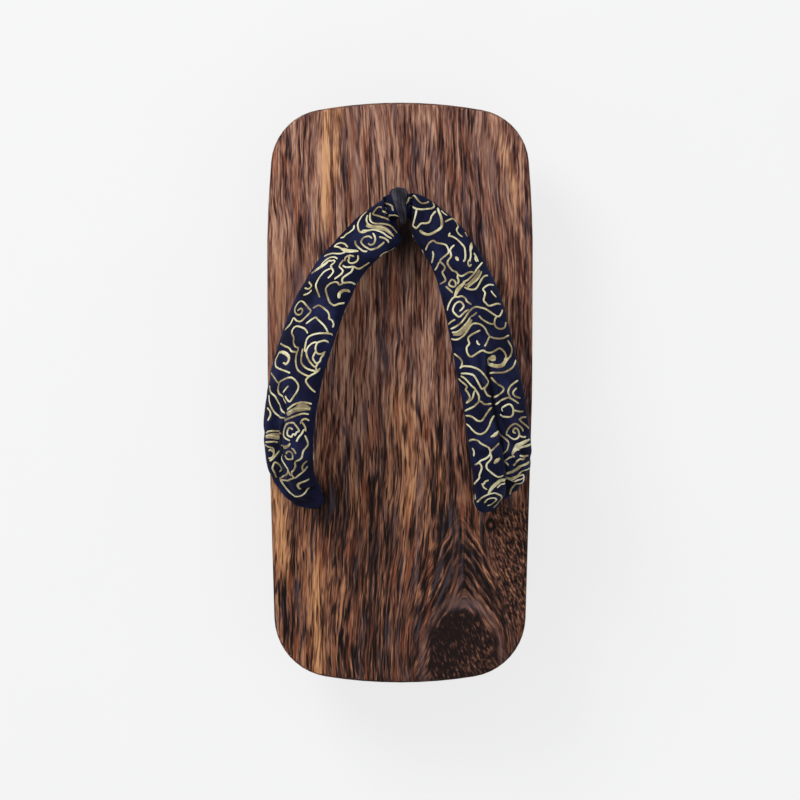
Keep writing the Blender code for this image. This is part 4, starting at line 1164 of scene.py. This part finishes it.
class Chart:
    """Lays lines that are charted in the photo's pixels on the strap's cloth."""

    def __init__(self):
        u, shares, rounds, points = plain_skin(SEARCH_STEP, SEARCH_SIDES, signed_roll=True)
        v = shares[None, :] * rounds[:, None]
        self.arms = {}
        for side in (-1, 1):
            on_arm = side * u >= -2 * MM
            self.arms[side] = (u[on_arm] / MM, v[on_arm] / MM, points[on_arm] / MM)

    def on_cloth(self, side, x, y):
        """u and v in millimetres under a pixel, and how far the pixel lies off the cloth's edge."""
        u, v, points = self.arms[side]
        away = np.hypot(points[..., 0] - (x - ORIGIN_X) * PIXEL, points[..., 1] - (ORIGIN_Y - y) * PIXEL)
        top = np.where(away < away.min() + SEARCH_REACH, points[..., 2], -1)
        i, j = np.unravel_index(np.argmax(top), top.shape)
        return (np.round(u[i], 1), np.round(v[i, j], 1)), away[i, j]

    def laid(self, side, line):
        """A line on the cloth, without what lies off it and without points that make no bend."""
        found = [self.on_cloth(side, x, y) for x, y in line]
        kept = [place for place, away in found if away <= OFF_CLOTH]
        kept = [p for i, p in enumerate(kept) if i == 0 or p != kept[i - 1]]
        return thinned(kept)

    def strokes(self):
        """The cloud scroll's rows of (width, points) in millimetres."""
        rows = [(-1, *row) for row in LEFT_STROKES] + [(1, *row) for row in RIGHT_STROKES]
        lines = [pairs(line) for _, _, *line in rows]
        clouds = [filled(line) for line in lines]
        out = []
        for i, (side, width, *_) in enumerate(rows):
            others = clouds[:i] + clouds[i + 1:]
            out.append((width, self.laid(side, lengthened(lines[i], others))))
        return [row for row in out if len(row[1]) > 1]

    def bands(self):
        return [(width, self.laid(side, pairs(line))) for side, width, *line in BANDS]

    def folds(self):
        """Rows of (depth, width, points) in millimetres."""
        return [
            (depth, width, [self.on_cloth(side, x, y)[0] for x, y in pairs(line)])
            for side, depth, width, *line in FOLDS
        ]


def filled(line):
    """Points at about a third of a pixel along a charted line."""
    out = []
    for (ax, ay), (bx, by) in zip(line, line[1:]):
        count = max(1, int(math.hypot(bx - ax, by - ay) / 0.3))
        out += [(ax + (bx - ax) * t / count, ay + (by - ay) * t / count) for t in range(count)]
    return np.array([*out, line[-1]])


def lengthened(line, others):
    """A charted line whose ends grow to the line that they nearly meet, or by a little where there is none."""
    line = list(line)
    for first in (True, False):
        tip, before = (np.array(p) for p in (line[:2] if first else line[:-3:-1]))
        ahead = (tip - before) / np.linalg.norm(tip - before)
        nearest, meeting = np.inf, tip + ahead * FREE_END
        for cloud in others:
            away = np.hypot(*(cloud - tip).T)
            facing = ((cloud - tip) @ ahead) / np.maximum(away, 1e-6)
            away = np.where(((away < MEET_AHEAD) & (facing > MEET_FACING)) | (away < MEET_NEAR), away, np.inf)
            if away.min() < nearest:
                nearest, meeting = away.min(), cloud[np.argmin(away)]
        if nearest > MEET_TOUCH:
            line.insert(0 if first else len(line), tuple(np.round(meeting, 1)))
    return line


def thinned(line):
    """Leave out the points that lie within the least bend of the line through those that stay."""
    if len(line) < 3:
        return line
    points = np.array(line)
    along = points[-1] - points[0]
    share = ((points - points[0]) @ along) / max(along @ along, 1e-12)
    off = np.hypot(*(points - points[0] - share.clip(0, 1)[:, None] * along).T)
    furthest = int(np.argmax(off))
    if off[furthest] < LEAST_BEND:
        return [line[0], line[-1]]
    return thinned(line[:furthest + 1])[:-1] + thinned(line[furthest:])


def uneven(point):
    """The stuffing's bumps under the cloth, about 11 mm wide, with smaller ones on them."""
    return noise.noise(Vector(point) * 90) + 0.5 * noise.noise(Vector(point) * 210)


class Cloth:
    """The strap's skin as a grid, and where a point of the cloth lies on it."""

    def __init__(self, folds):
        self.u, self.shares, self.rounds, self.points = plain_skin(STRAP_STEP, STRAP_SIDES)
        self.height = self.relief(folds)
        self.points += self.normals() * self.height[:, :, None]
        self.side = self.normals()

    def normals(self):
        p = self.points
        along = np.gradient(p, axis=0)
        round_it = np.roll(p, -1, axis=1) - np.roll(p, 1, axis=1)
        normal = unit(np.cross(along, round_it))
        outward = p - p.mean(axis=1)[:, None]
        # One sign for each ring, so that the normals all look out of the tube.
        sign = np.sign((normal * outward).sum(axis=(1, 2)))
        return normal * sign[:, None, None]

    def relief(self, folds):
        """Creases, the pleats at the neck and at the holes, and the cloth's own unevenness."""
        u = np.repeat((self.u / MM)[:, None], STRAP_SIDES, axis=1)
        v = self.shares[None, :] * (self.rounds / MM)[:, None]
        height = np.zeros_like(u)
        for crease in map(Crease._make, CREASES):
            angle = math.radians(crease.angle)
            a = (u - crease.u) * math.cos(angle) + (v - crease.v) * math.sin(angle)
            b = (v - crease.v) * math.cos(angle) - (u - crease.u) * math.sin(angle)
            # Each crease has a low ridge beside it.
            trough = bell(b / crease.across) - 0.35 * bell((b - 1.9 * crease.across) / crease.across)
            height -= crease.depth * trough * bell((a / crease.along) ** 2)
        for depth, width, line in folds:
            line = resample(np.array(line), 1.0)[0]
            # A fold fades out over the last 8 mm at each end.
            away = np.full(u.shape, np.inf)
            for i, (at_u, at_v) in enumerate(line):
                blunt = 3.0 * max(0, 8 - i, i + 9 - len(line)) / 8
                away = np.minimum(away, np.hypot(np.hypot(u - at_u, v - at_v), blunt))
            height -= depth * (bell(away / width) - 0.3 * bell((away - 2.2 * width) / width))
        turn = TURN * self.shares[None, :]
        near_neck = bell(((np.abs(u) - 5) / 7).clip(0)) * (np.abs(u) > 4.2)
        ends = np.minimum(u - u[0], u[-1] - u)
        near_hole = bell(((ends - 9) / 7).clip(0))
        for near, depth, count, lean, leans in ((near_neck, 0.30, 9, 0.6, 2), (near_hole, 0.28, 8, 0.8, 3)):
            height -= near * depth * (np.cos(count * turn + lean * np.sin(leans * turn)) * 0.5 + 0.5)
        rough = np.array([[uneven(point) for point in ring] for ring in self.points])
        # What stands in the hole stays as thin as it is.
        return (height + 0.16 * rough * np.clip(ends / 14, 0, 1)) * MM

    def at(self, u, v):
        """Points on the cloth, their normals and their relief, for arrays of u and v in metres."""
        row = np.clip((u - self.u[0]) / STRAP_STEP, 0, len(self.u) - 1.001)
        i = row.astype(int)
        f = (row - i)[:, None]
        around = np.interp(u, self.u, self.rounds)
        column = (v / around + 0.5) * STRAP_SIDES
        j = np.floor(column).astype(int)
        h = (column - j)[:, None]
        j, k = j % STRAP_SIDES, (j + 1) % STRAP_SIDES

        def mixed(grid):
            low = grid[i, j] * (1 - h) + grid[i, k] * h
            high = grid[i + 1, j] * (1 - h) + grid[i + 1, k] * h
            return low * (1 - f) + high * f

        return mixed(self.points), unit(mixed(self.side)), mixed(self.height[:, :, None])[:, 0]


def make_strap(cloth, material):
    share = np.linspace(-0.5, 0.5, STRAP_SIDES + 1)
    v = share[None, :] * cloth.rounds[:, None]
    u = np.repeat(cloth.u[:, None], STRAP_SIDES + 1, axis=1)
    strap = skin("padded_strap", cloth.points, np.stack([u, v], axis=2), material)
    keep_relief(strap.data, cloth.height.ravel() / MM)
    return piece(strap, "strap")


# A line of thread wider than this, in millimetres, swells and tapers as a brush stroke does.
BRUSHED_WIDTH = 1.7
# A line's section, from edge to edge: half widths from its middle, and millimetres over the cloth
RIBBON = ((-1.0, -0.10), (-0.62, 0.09), (0.0, 0.17), (0.62, 0.09), (1.0, -0.10))


def ribbons(name, cloth, rows, material, lift=0.0):
    """Raised lines of thread on the cloth, from rows of (width, points) in millimetres."""
    verts, faces, uvs, relief = [], [], [], []
    for width, points in rows:
        path, _ = resample(np.array(points) * MM, THREAD_STEP)
        on, normal, height = cloth.at(path[:, 0], path[:, 1])
        sideways = np.cross(normal, unit(np.gradient(on, axis=0)))
        gone = distances(on)
        half = width * MM / 2
        to_end = np.minimum(gone, gone[-1] - gone)
        soft = min(gone[-1] / 2, (5.0 if width > BRUSHED_WIDTH else 0.9) * half)
        spread = half * np.sqrt(np.clip(to_end / soft, 0, 1) * 0.85 + 0.15)
        first = len(verts)
        for i in range(len(on)):
            relief.extend([height[i] / MM] * len(RIBBON))
            for offset, stand in RIBBON:
                rise = (stand + lift) * (0.4 + 0.6 * spread[i] / half) * MM
                verts.append(on[i] + sideways[i] * offset * spread[i] + normal[i] * rise)
        n = len(RIBBON)
        for i in range(len(on) - 1):
            for j in range(n - 1):
                a = first + i * n + j
                faces.append((a, a + 1, a + n + 1, a + n))
                s0, s1 = gone[i], gone[i + 1]
                t0, t1 = RIBBON[j][0] * half, RIBBON[j + 1][0] * half
                uvs.extend(((s0, t0), (s0, t1), (s1, t1), (s1, t0)))
    mesh = cloth_mesh(name, [tuple(p) for p in verts], faces, uvs, material)
    keep_relief(mesh, np.array(relief))
    return piece(link(bpy.data.objects.new(name, mesh)))


def spiral(u, v, size, start, hand, turns):
    """A curl that opens from its eye to size, with its outer end at the start angle."""
    points = []
    count = max(8, int(turns * 9))
    for i in range(count + 1):
        share = i / count
        angle = math.radians(start) + hand * TURN * turns * (share - 1)
        radius = size * (0.16 + 0.84 * share)
        points.append((u + radius * math.cos(angle), v + radius * math.sin(angle)))
    return points


def bow(u, v, size, start, sweep, squash):
    """Part of an oval from a start angle through a sweep; its height is squash times its width."""
    count = max(4, int(abs(sweep) / 22))
    points = []
    for i in range(count + 1):
        angle = math.radians(start + sweep * i / count)
        points.append((u + size * math.cos(angle), v + size * squash * math.sin(angle)))
    return points


# The scroll where the photo doesn't show it: groups on each arm, the first one's place and the next ones' distance and
# the lines' width in millimetres, and the groups' places round the strap, as shares of the way round from its top
HIDDEN_GROUPS = 9
HIDDEN_START = 16
HIDDEN_PITCH = 15.5
HIDDEN_WIDTH = 1.15
HIDDEN_LEVELS = (0.36, -0.38, 0.5)


def hidden_scroll(cloth):
    """Lines for the sides and the underside, which the photo doesn't show: curls, and bows round them."""
    rows = []
    for arm in (-1, 1):
        for step in range(HIDDEN_GROUPS):
            u = arm * (HIDDEN_START + HIDDEN_PITCH * step)
            around = float(np.interp(u * MM, cloth.u, cloth.rounds)) / MM
            for level in HIDDEN_LEVELS:
                v = around * level + RNG.uniform(-1.5, 1.5)
                at = u + RNG.uniform(-3, 3) + (7 if level == HIDDEN_LEVELS[-1] else 0)
                turn = RNG.uniform(0, 360)
                hand = RNG.choice((-1, 1))
                size = RNG.uniform(2.6, 3.8)
                rows += [(HIDDEN_WIDTH, line) for line in (
                    spiral(at, v, size, turn, hand, 1.5),
                    bow(at, v, size + 2.2, turn + 30 * hand, 200 * hand, 0.9),
                    bow(at + arm * 7, v + 1.5, 3.2, turn + 180, 170 * hand, 1.1),
                )]
    return rows


# The toe loop, the knots and the cords


def make_toe_loop(material):
    """A pleated band round the strap's neck, gathered below into a stem that goes down the front hole."""
    neck_z = BOARD_TOP + NECK_HEIGHT
    depth = NECK_WIDTH / 2 + LOOP_GAP + LOOP_WALL / 2
    height = NECK_THICKNESS / 2 + LOOP_GAP + LOOP_WALL / 2
    rounds, sides, levels = 120, 48, 44
    band = []
    turn = np.linspace(0, TURN, sides, endpoint=False)
    for i in range(rounds):
        angle = TURN * i / rounds
        outward = np.array([0, math.cos(angle), math.sin(angle)])
        centre = np.array([0, FRONT_HOLE_Y + depth * math.cos(angle), neck_z + height * math.sin(angle)])
        front = (1 + math.cos(angle)) / 2
        half = (LOOP_BACK_WIDTH + (LOOP_FRONT_WIDTH - LOOP_BACK_WIDTH) * (1.25 * front - 0.25)) / 2
        across, thick = squared(np.cos(turn), 0.75), squared(np.sin(turn), 0.8)
        # Lengthwise pleats on the outer face, which close up towards the back
        pleat = np.cos(across * 7.5 + 1.1 * math.sin(2 * angle) + 0.5) * 0.17 * MM + 0.05 * MM * math.sin(11 * angle)
        reach = LOOP_WALL / 2 * thick + np.where(thick > 0, pleat * np.abs(thick), 0)
        # Its edges are drawn in, the outer face's more.
        reach -= front * np.abs(across) ** 3 * np.where(thick > 0, 1.3, 0.4) * MM
        wander = (1.4 - 2.1 * front + 0.15 * math.sin(3 * angle + 0.6)) * MM
        band.append(centre + np.outer(half * across + wander, (1.0, 0, 0)) + np.outer(reach, outward))
    gone = np.linspace(0, TURN * (depth + height) / 2, rounds + 1)
    around = np.linspace(0, 2 * LOOP_FRONT_WIDTH, sides + 1)
    loop = skin("toe_loop_band", np.array(band), cloth_grid(gone, around), material, closed_along=True)

    top = neck_z - height
    low = TOOTH_HEIGHT + RECESS_DEPTH
    stem = []
    for share in np.linspace(0, 1, levels):
        z = low + (top - low) * share
        above = max(0.0, (z - BOARD_TOP) / (top - BOARD_TOP))
        radius = (FILL_DIAMETER + (LOOP_STEM_TOP_DIAMETER - FILL_DIAMETER) * above) / 2
        # Gathers, which are deeper at the top
        radius = radius * (1 - 0.09 * (0.5 + 0.5 * np.cos(7 * turn + 1.5 * share)) * (0.3 + 0.7 * above))
        stem.append(np.stack([radius * np.cos(turn), FRONT_HOLE_Y + radius * np.sin(turn), 0 * turn + z], axis=1))
    rise = np.linspace(0, top - low, levels)
    around = np.linspace(0, STEM_ROUND, sides + 1)
    skirt = skin("toe_loop_stem", np.array(stem), cloth_grid(rise, around), material)
    return piece(joined("pleated_toe_loop", [loop, skirt]), "toe_loop")


def with_cut_ends(name, turns, y, places, material):
    """A knot's turns with two cut ends: places are x and y from the hole's middle, for the right-hand end, and z."""
    for side in (-1, 1):
        points = [(side * across, y + side * along, z) for across, along, z in places]
        turns.append(rope("cut_end", points, CUT_END_DIAMETER / 2, material))
    return joined(name, turns)


def make_front_knot(material):
    """An overhand knot, drawn tight, with its two cut ends."""
    tube = 2.9 * MM
    wide = (FRONT_KNOT_HIGH.x - FRONT_KNOT_LOW.x) / 2 - tube
    tall = (FRONT_KNOT_HIGH.z - FRONT_KNOT_LOW.z) / 2 - tube
    middle = (FRONT_KNOT_LOW.z + FRONT_KNOT_HIGH.z) / 2
    points = []
    for t in np.arange(48) * TURN / 48:
        points.append((
            wide / 3 * (math.sin(t) + 2 * math.sin(2 * t)),
            FRONT_HOLE_Y + wide / 3 * (math.cos(t) - 2 * math.cos(2 * t)),
            middle - tall * math.sin(3 * t),
        ))
    knot = rope("knot_turns", points, tube, material, closed=True)
    low = FRONT_KNOT_LOW.z
    places = (
        (1.5 * MM, 1.2 * MM, middle),
        (2.6 * MM, 0.4 * MM, low + 1.5 * MM),
        (4.2 * MM, -1.0 * MM, low - 1.2 * MM),
        (6.2 * MM, -2.4 * MM, low - 2.6 * MM),
    )
    knot = with_cut_ends("tied_front_knot", [knot], FRONT_HOLE_Y, places, material)
    return piece(knot, "front_knot")


def make_rear_cord(side, material):
    """A twisted cord down its hole, round the hole's edge and along the board to the knot."""
    name = "rear_cord_left" if side < 0 else "rear_cord_right"
    z = TOOTH_HEIGHT - SEAT_GAP - CORD_DIAMETER / 2
    bend = HOLE_DIAMETER / 2
    places = [(REAR_HOLE_X, BOARD_TOP - STRAP_END_IN_HOLE - SEAT_GAP), (REAR_HOLE_X, z + bend + 3 * MM)]
    for angle in np.linspace(0, TURN / 4, 5):
        places.append((REAR_HOLE_X - bend + bend * math.cos(angle), z + bend - bend * math.sin(angle)))
    places += [(22 * MM, z), (REAR_KNOT_HIGH.x + 0.2 * MM, z)]
    points = [(side * across, REAR_HOLE_Y, height) for across, height in places]
    cord = rope("twisted_" + name, points, CORD_DIAMETER / 2, material)
    return piece(cord, name)


def make_rear_knot(material):
    """Both cords side by side, wound round and round with their own ends."""
    half = (REAR_KNOT_HIGH.x - REAR_KNOT_LOW.x) / 2
    z = (REAR_KNOT_LOW.z + REAR_KNOT_HIGH.z) / 2
    outer = (REAR_KNOT_HIGH.z - REAR_KNOT_LOW.z) / 2
    tube = 1.95 * MM
    points = []
    turns = 5
    for share in np.linspace(0, 1, turns * 14 + 1):
        angle = TURN * turns * share
        points.append((
            -half + tube + (2 * half - 2 * tube) * share,
            REAR_HOLE_Y + (outer - tube) * math.cos(angle),
            z + (outer - tube) * math.sin(angle),
        ))
    winding = rope("winding", points, tube, material)
    core = rope("core", [(x, REAR_HOLE_Y, z) for x in (-half, 0, half)], 2.3 * MM, material)
    places = (
        (half - 3 * MM, 0, z - 1.0 * MM),
        (half - 1 * MM, 3.0 * MM, z - 1.2 * MM),
        (half + 1 * MM, 6.5 * MM, z - 0.6 * MM),
        (half + 2 * MM, 11.5 * MM, z + 0.2 * MM),
    )
    knot = with_cut_ends("wound_rear_knot", [winding, core], REAR_HOLE_Y, places, material)
    return piece(knot, "rear_knot")


# The wood


def relief_at(x, y):
    """Height of the brushed grain over the flat top, in metres: long low ridges along the board."""
    a, b = x / MM, y / MM
    for knot in KNOTS:
        kx, ky = a - knot.x, (b - knot.y) / knot.stretch
        a -= kx / max(1.0, (kx * kx + ky * ky) / knot.half**2)
    broad = noise.noise(Vector((a * 0.22, b * 0.016, 3.0)))
    narrow = noise.noise(Vector((a * 0.62, b * 0.035, 8.0)))
    return (0.10 * broad + 0.13 * narrow - 0.06) * MM


def make_board(material):
    """The carved block with worn edges and a brushed top."""
    edit = bmesh.new()
    edit.from_mesh(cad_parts["wooden_base"].data)
    bmesh.ops.remove_doubles(edit, verts=edit.verts, dist=0.002 * MM)
    bmesh.ops.dissolve_limit(edit, angle_limit=math.radians(1), verts=edit.verts, edges=edit.edges)
    sharp = [e for e in edit.edges if len(e.link_faces) == 2 and e.calc_face_angle(0) > math.radians(40)]
    bmesh.ops.bevel(
        edit, geom=sharp, offset=0.5 * MM, segments=2, profile=0.5, affect="EDGES", clamp_overlap=True
    )

    def top_faces():
        edit.faces.ensure_lookup_table()
        return [f for f in edit.faces if f.normal.z > 0.99 and f.calc_center_median().z > BOARD_TOP - 0.05 * MM]

    for axis, cell in ((0, BOARD_CELL_ACROSS), (1, BOARD_CELL_ALONG)):
        count = int((BASE_HIGH[axis] - BASE_LOW[axis]) / cell)
        for i in range(1, count):
            place, normal = Vector(), Vector()
            place[axis] = BASE_LOW[axis] + (BASE_HIGH[axis] - BASE_LOW[axis]) * i / count
            normal[axis] = 1
            faces = top_faces()
            edges = {e for f in faces for e in f.edges}
            verts = {v for f in faces for v in f.verts}
            bmesh.ops.bisect_plane(edit, geom=[*faces, *edges, *verts], plane_co=place, plane_no=normal, dist=1e-7)
    for vert in edit.verts:
        if vert.co.z > BOARD_TOP - 0.02 * MM:
            vert.co.z += relief_at(vert.co.x, vert.co.y)
    mesh = bpy.data.meshes.new("brushed_board")
    edit.to_mesh(mesh)
    edit.free()
    mesh.shade_smooth()
    mesh.set_sharp_from_angle(angle=math.radians(42))
    mesh.materials.clear()
    mesh.materials.append(material)
    return piece(link(bpy.data.objects.new("brushed_board", mesh)), "wooden_base")


# The floor, the light and the camera


FLOOR_SIZE = 12.0
# Each lamp's place, size and power
LAMPS = (
    ("key", (-0.85, 1.05, 1.1), 0.7, 19.0),
    ("fill", (0.6, -0.6, 1.5), 1.2, 3.0),
)
# The height of the photo at the board's top, and the place of its middle along the board
SEEN = 365.2 * MM
SEEN_Y = -3.4 * MM


def make_stage():
    g = Graph("pale_floor")
    x, y, _ = g.place()
    speck = g.noise(x * 0.02, y * 0.02)
    # A floor with some light of its own, as a light table has, keeps the shadow pale.
    g.finish(
        g.mix(speck, (108, 108, 109), (112, 112, 113)), 0.9, Specular_IOR_Level=0.0,
        Emission_Color=(1.0, 1.0, 1.0, 1.0), Emission_Strength=0.75,
    )
    half = FLOOR_SIZE / 2
    mesh = bpy.data.meshes.new("floor")
    mesh.from_pydata([(-half, -half, 0), (half, -half, 0), (half, half, 0), (-half, half, 0)], [], [(0, 1, 2, 3)])
    mesh.materials.append(g.material)
    link(bpy.data.objects.new("floor", mesh))

    world = bpy.data.worlds.new("studio")
    world.use_nodes = True
    back = world.node_tree.nodes["Background"]
    back.inputs["Color"].default_value = (0.97, 0.98, 1.0, 1.0)
    back.inputs["Strength"].default_value = 0.6
    bpy.context.scene.world = world

    for name, place, size, power in LAMPS:
        light = bpy.data.lights.new(name, "AREA")
        light.shape = "SQUARE"
        light.size = size
        light.energy = power
        lamp = link(bpy.data.objects.new(name, light))
        lamp.location = place
        lamp.rotation_euler = (-Vector(place)).to_track_quat("-Z", "Y").to_euler()


def make_camera():
    """Straight down, with the toe at the top, as in the photo."""
    lens = bpy.data.cameras.new("camera")
    lens.lens = 150
    lens.sensor_width = 36
    lens.clip_end = 20
    camera = link(bpy.data.objects.new("camera", lens))
    camera.location = (0, SEEN_Y, BOARD_TOP + SEEN * lens.lens / lens.sensor_width)
    bpy.context.scene.camera = camera


def main():
    make_camera()
    make_stage()
    bpy.context.scene.view_settings.view_transform = "Standard"
    make_board(wood_material())
    chart = Chart()
    cloth = Cloth(chart.folds())
    make_strap(cloth, cloth_material())
    gold = thread_material("gold_thread", (142, 124, 86), (204, 192, 142), (238, 231, 192))
    tan = thread_material("tan_thread", (112, 98, 74), (150, 134, 100), (176, 162, 122))
    ribbons("cloud_scroll", cloth, chart.strokes() + hidden_scroll(cloth), gold)
    ribbons("cloud_bands", cloth, chart.bands(), tan, lift=-0.03)
    ribbed = ribbed_material()
    make_toe_loop(ribbed)
    cord = cord_material()
    make_front_knot(cord)
    for side in (-1, 1):
        make_rear_cord(side, cord)
    make_rear_knot(cord)


main()
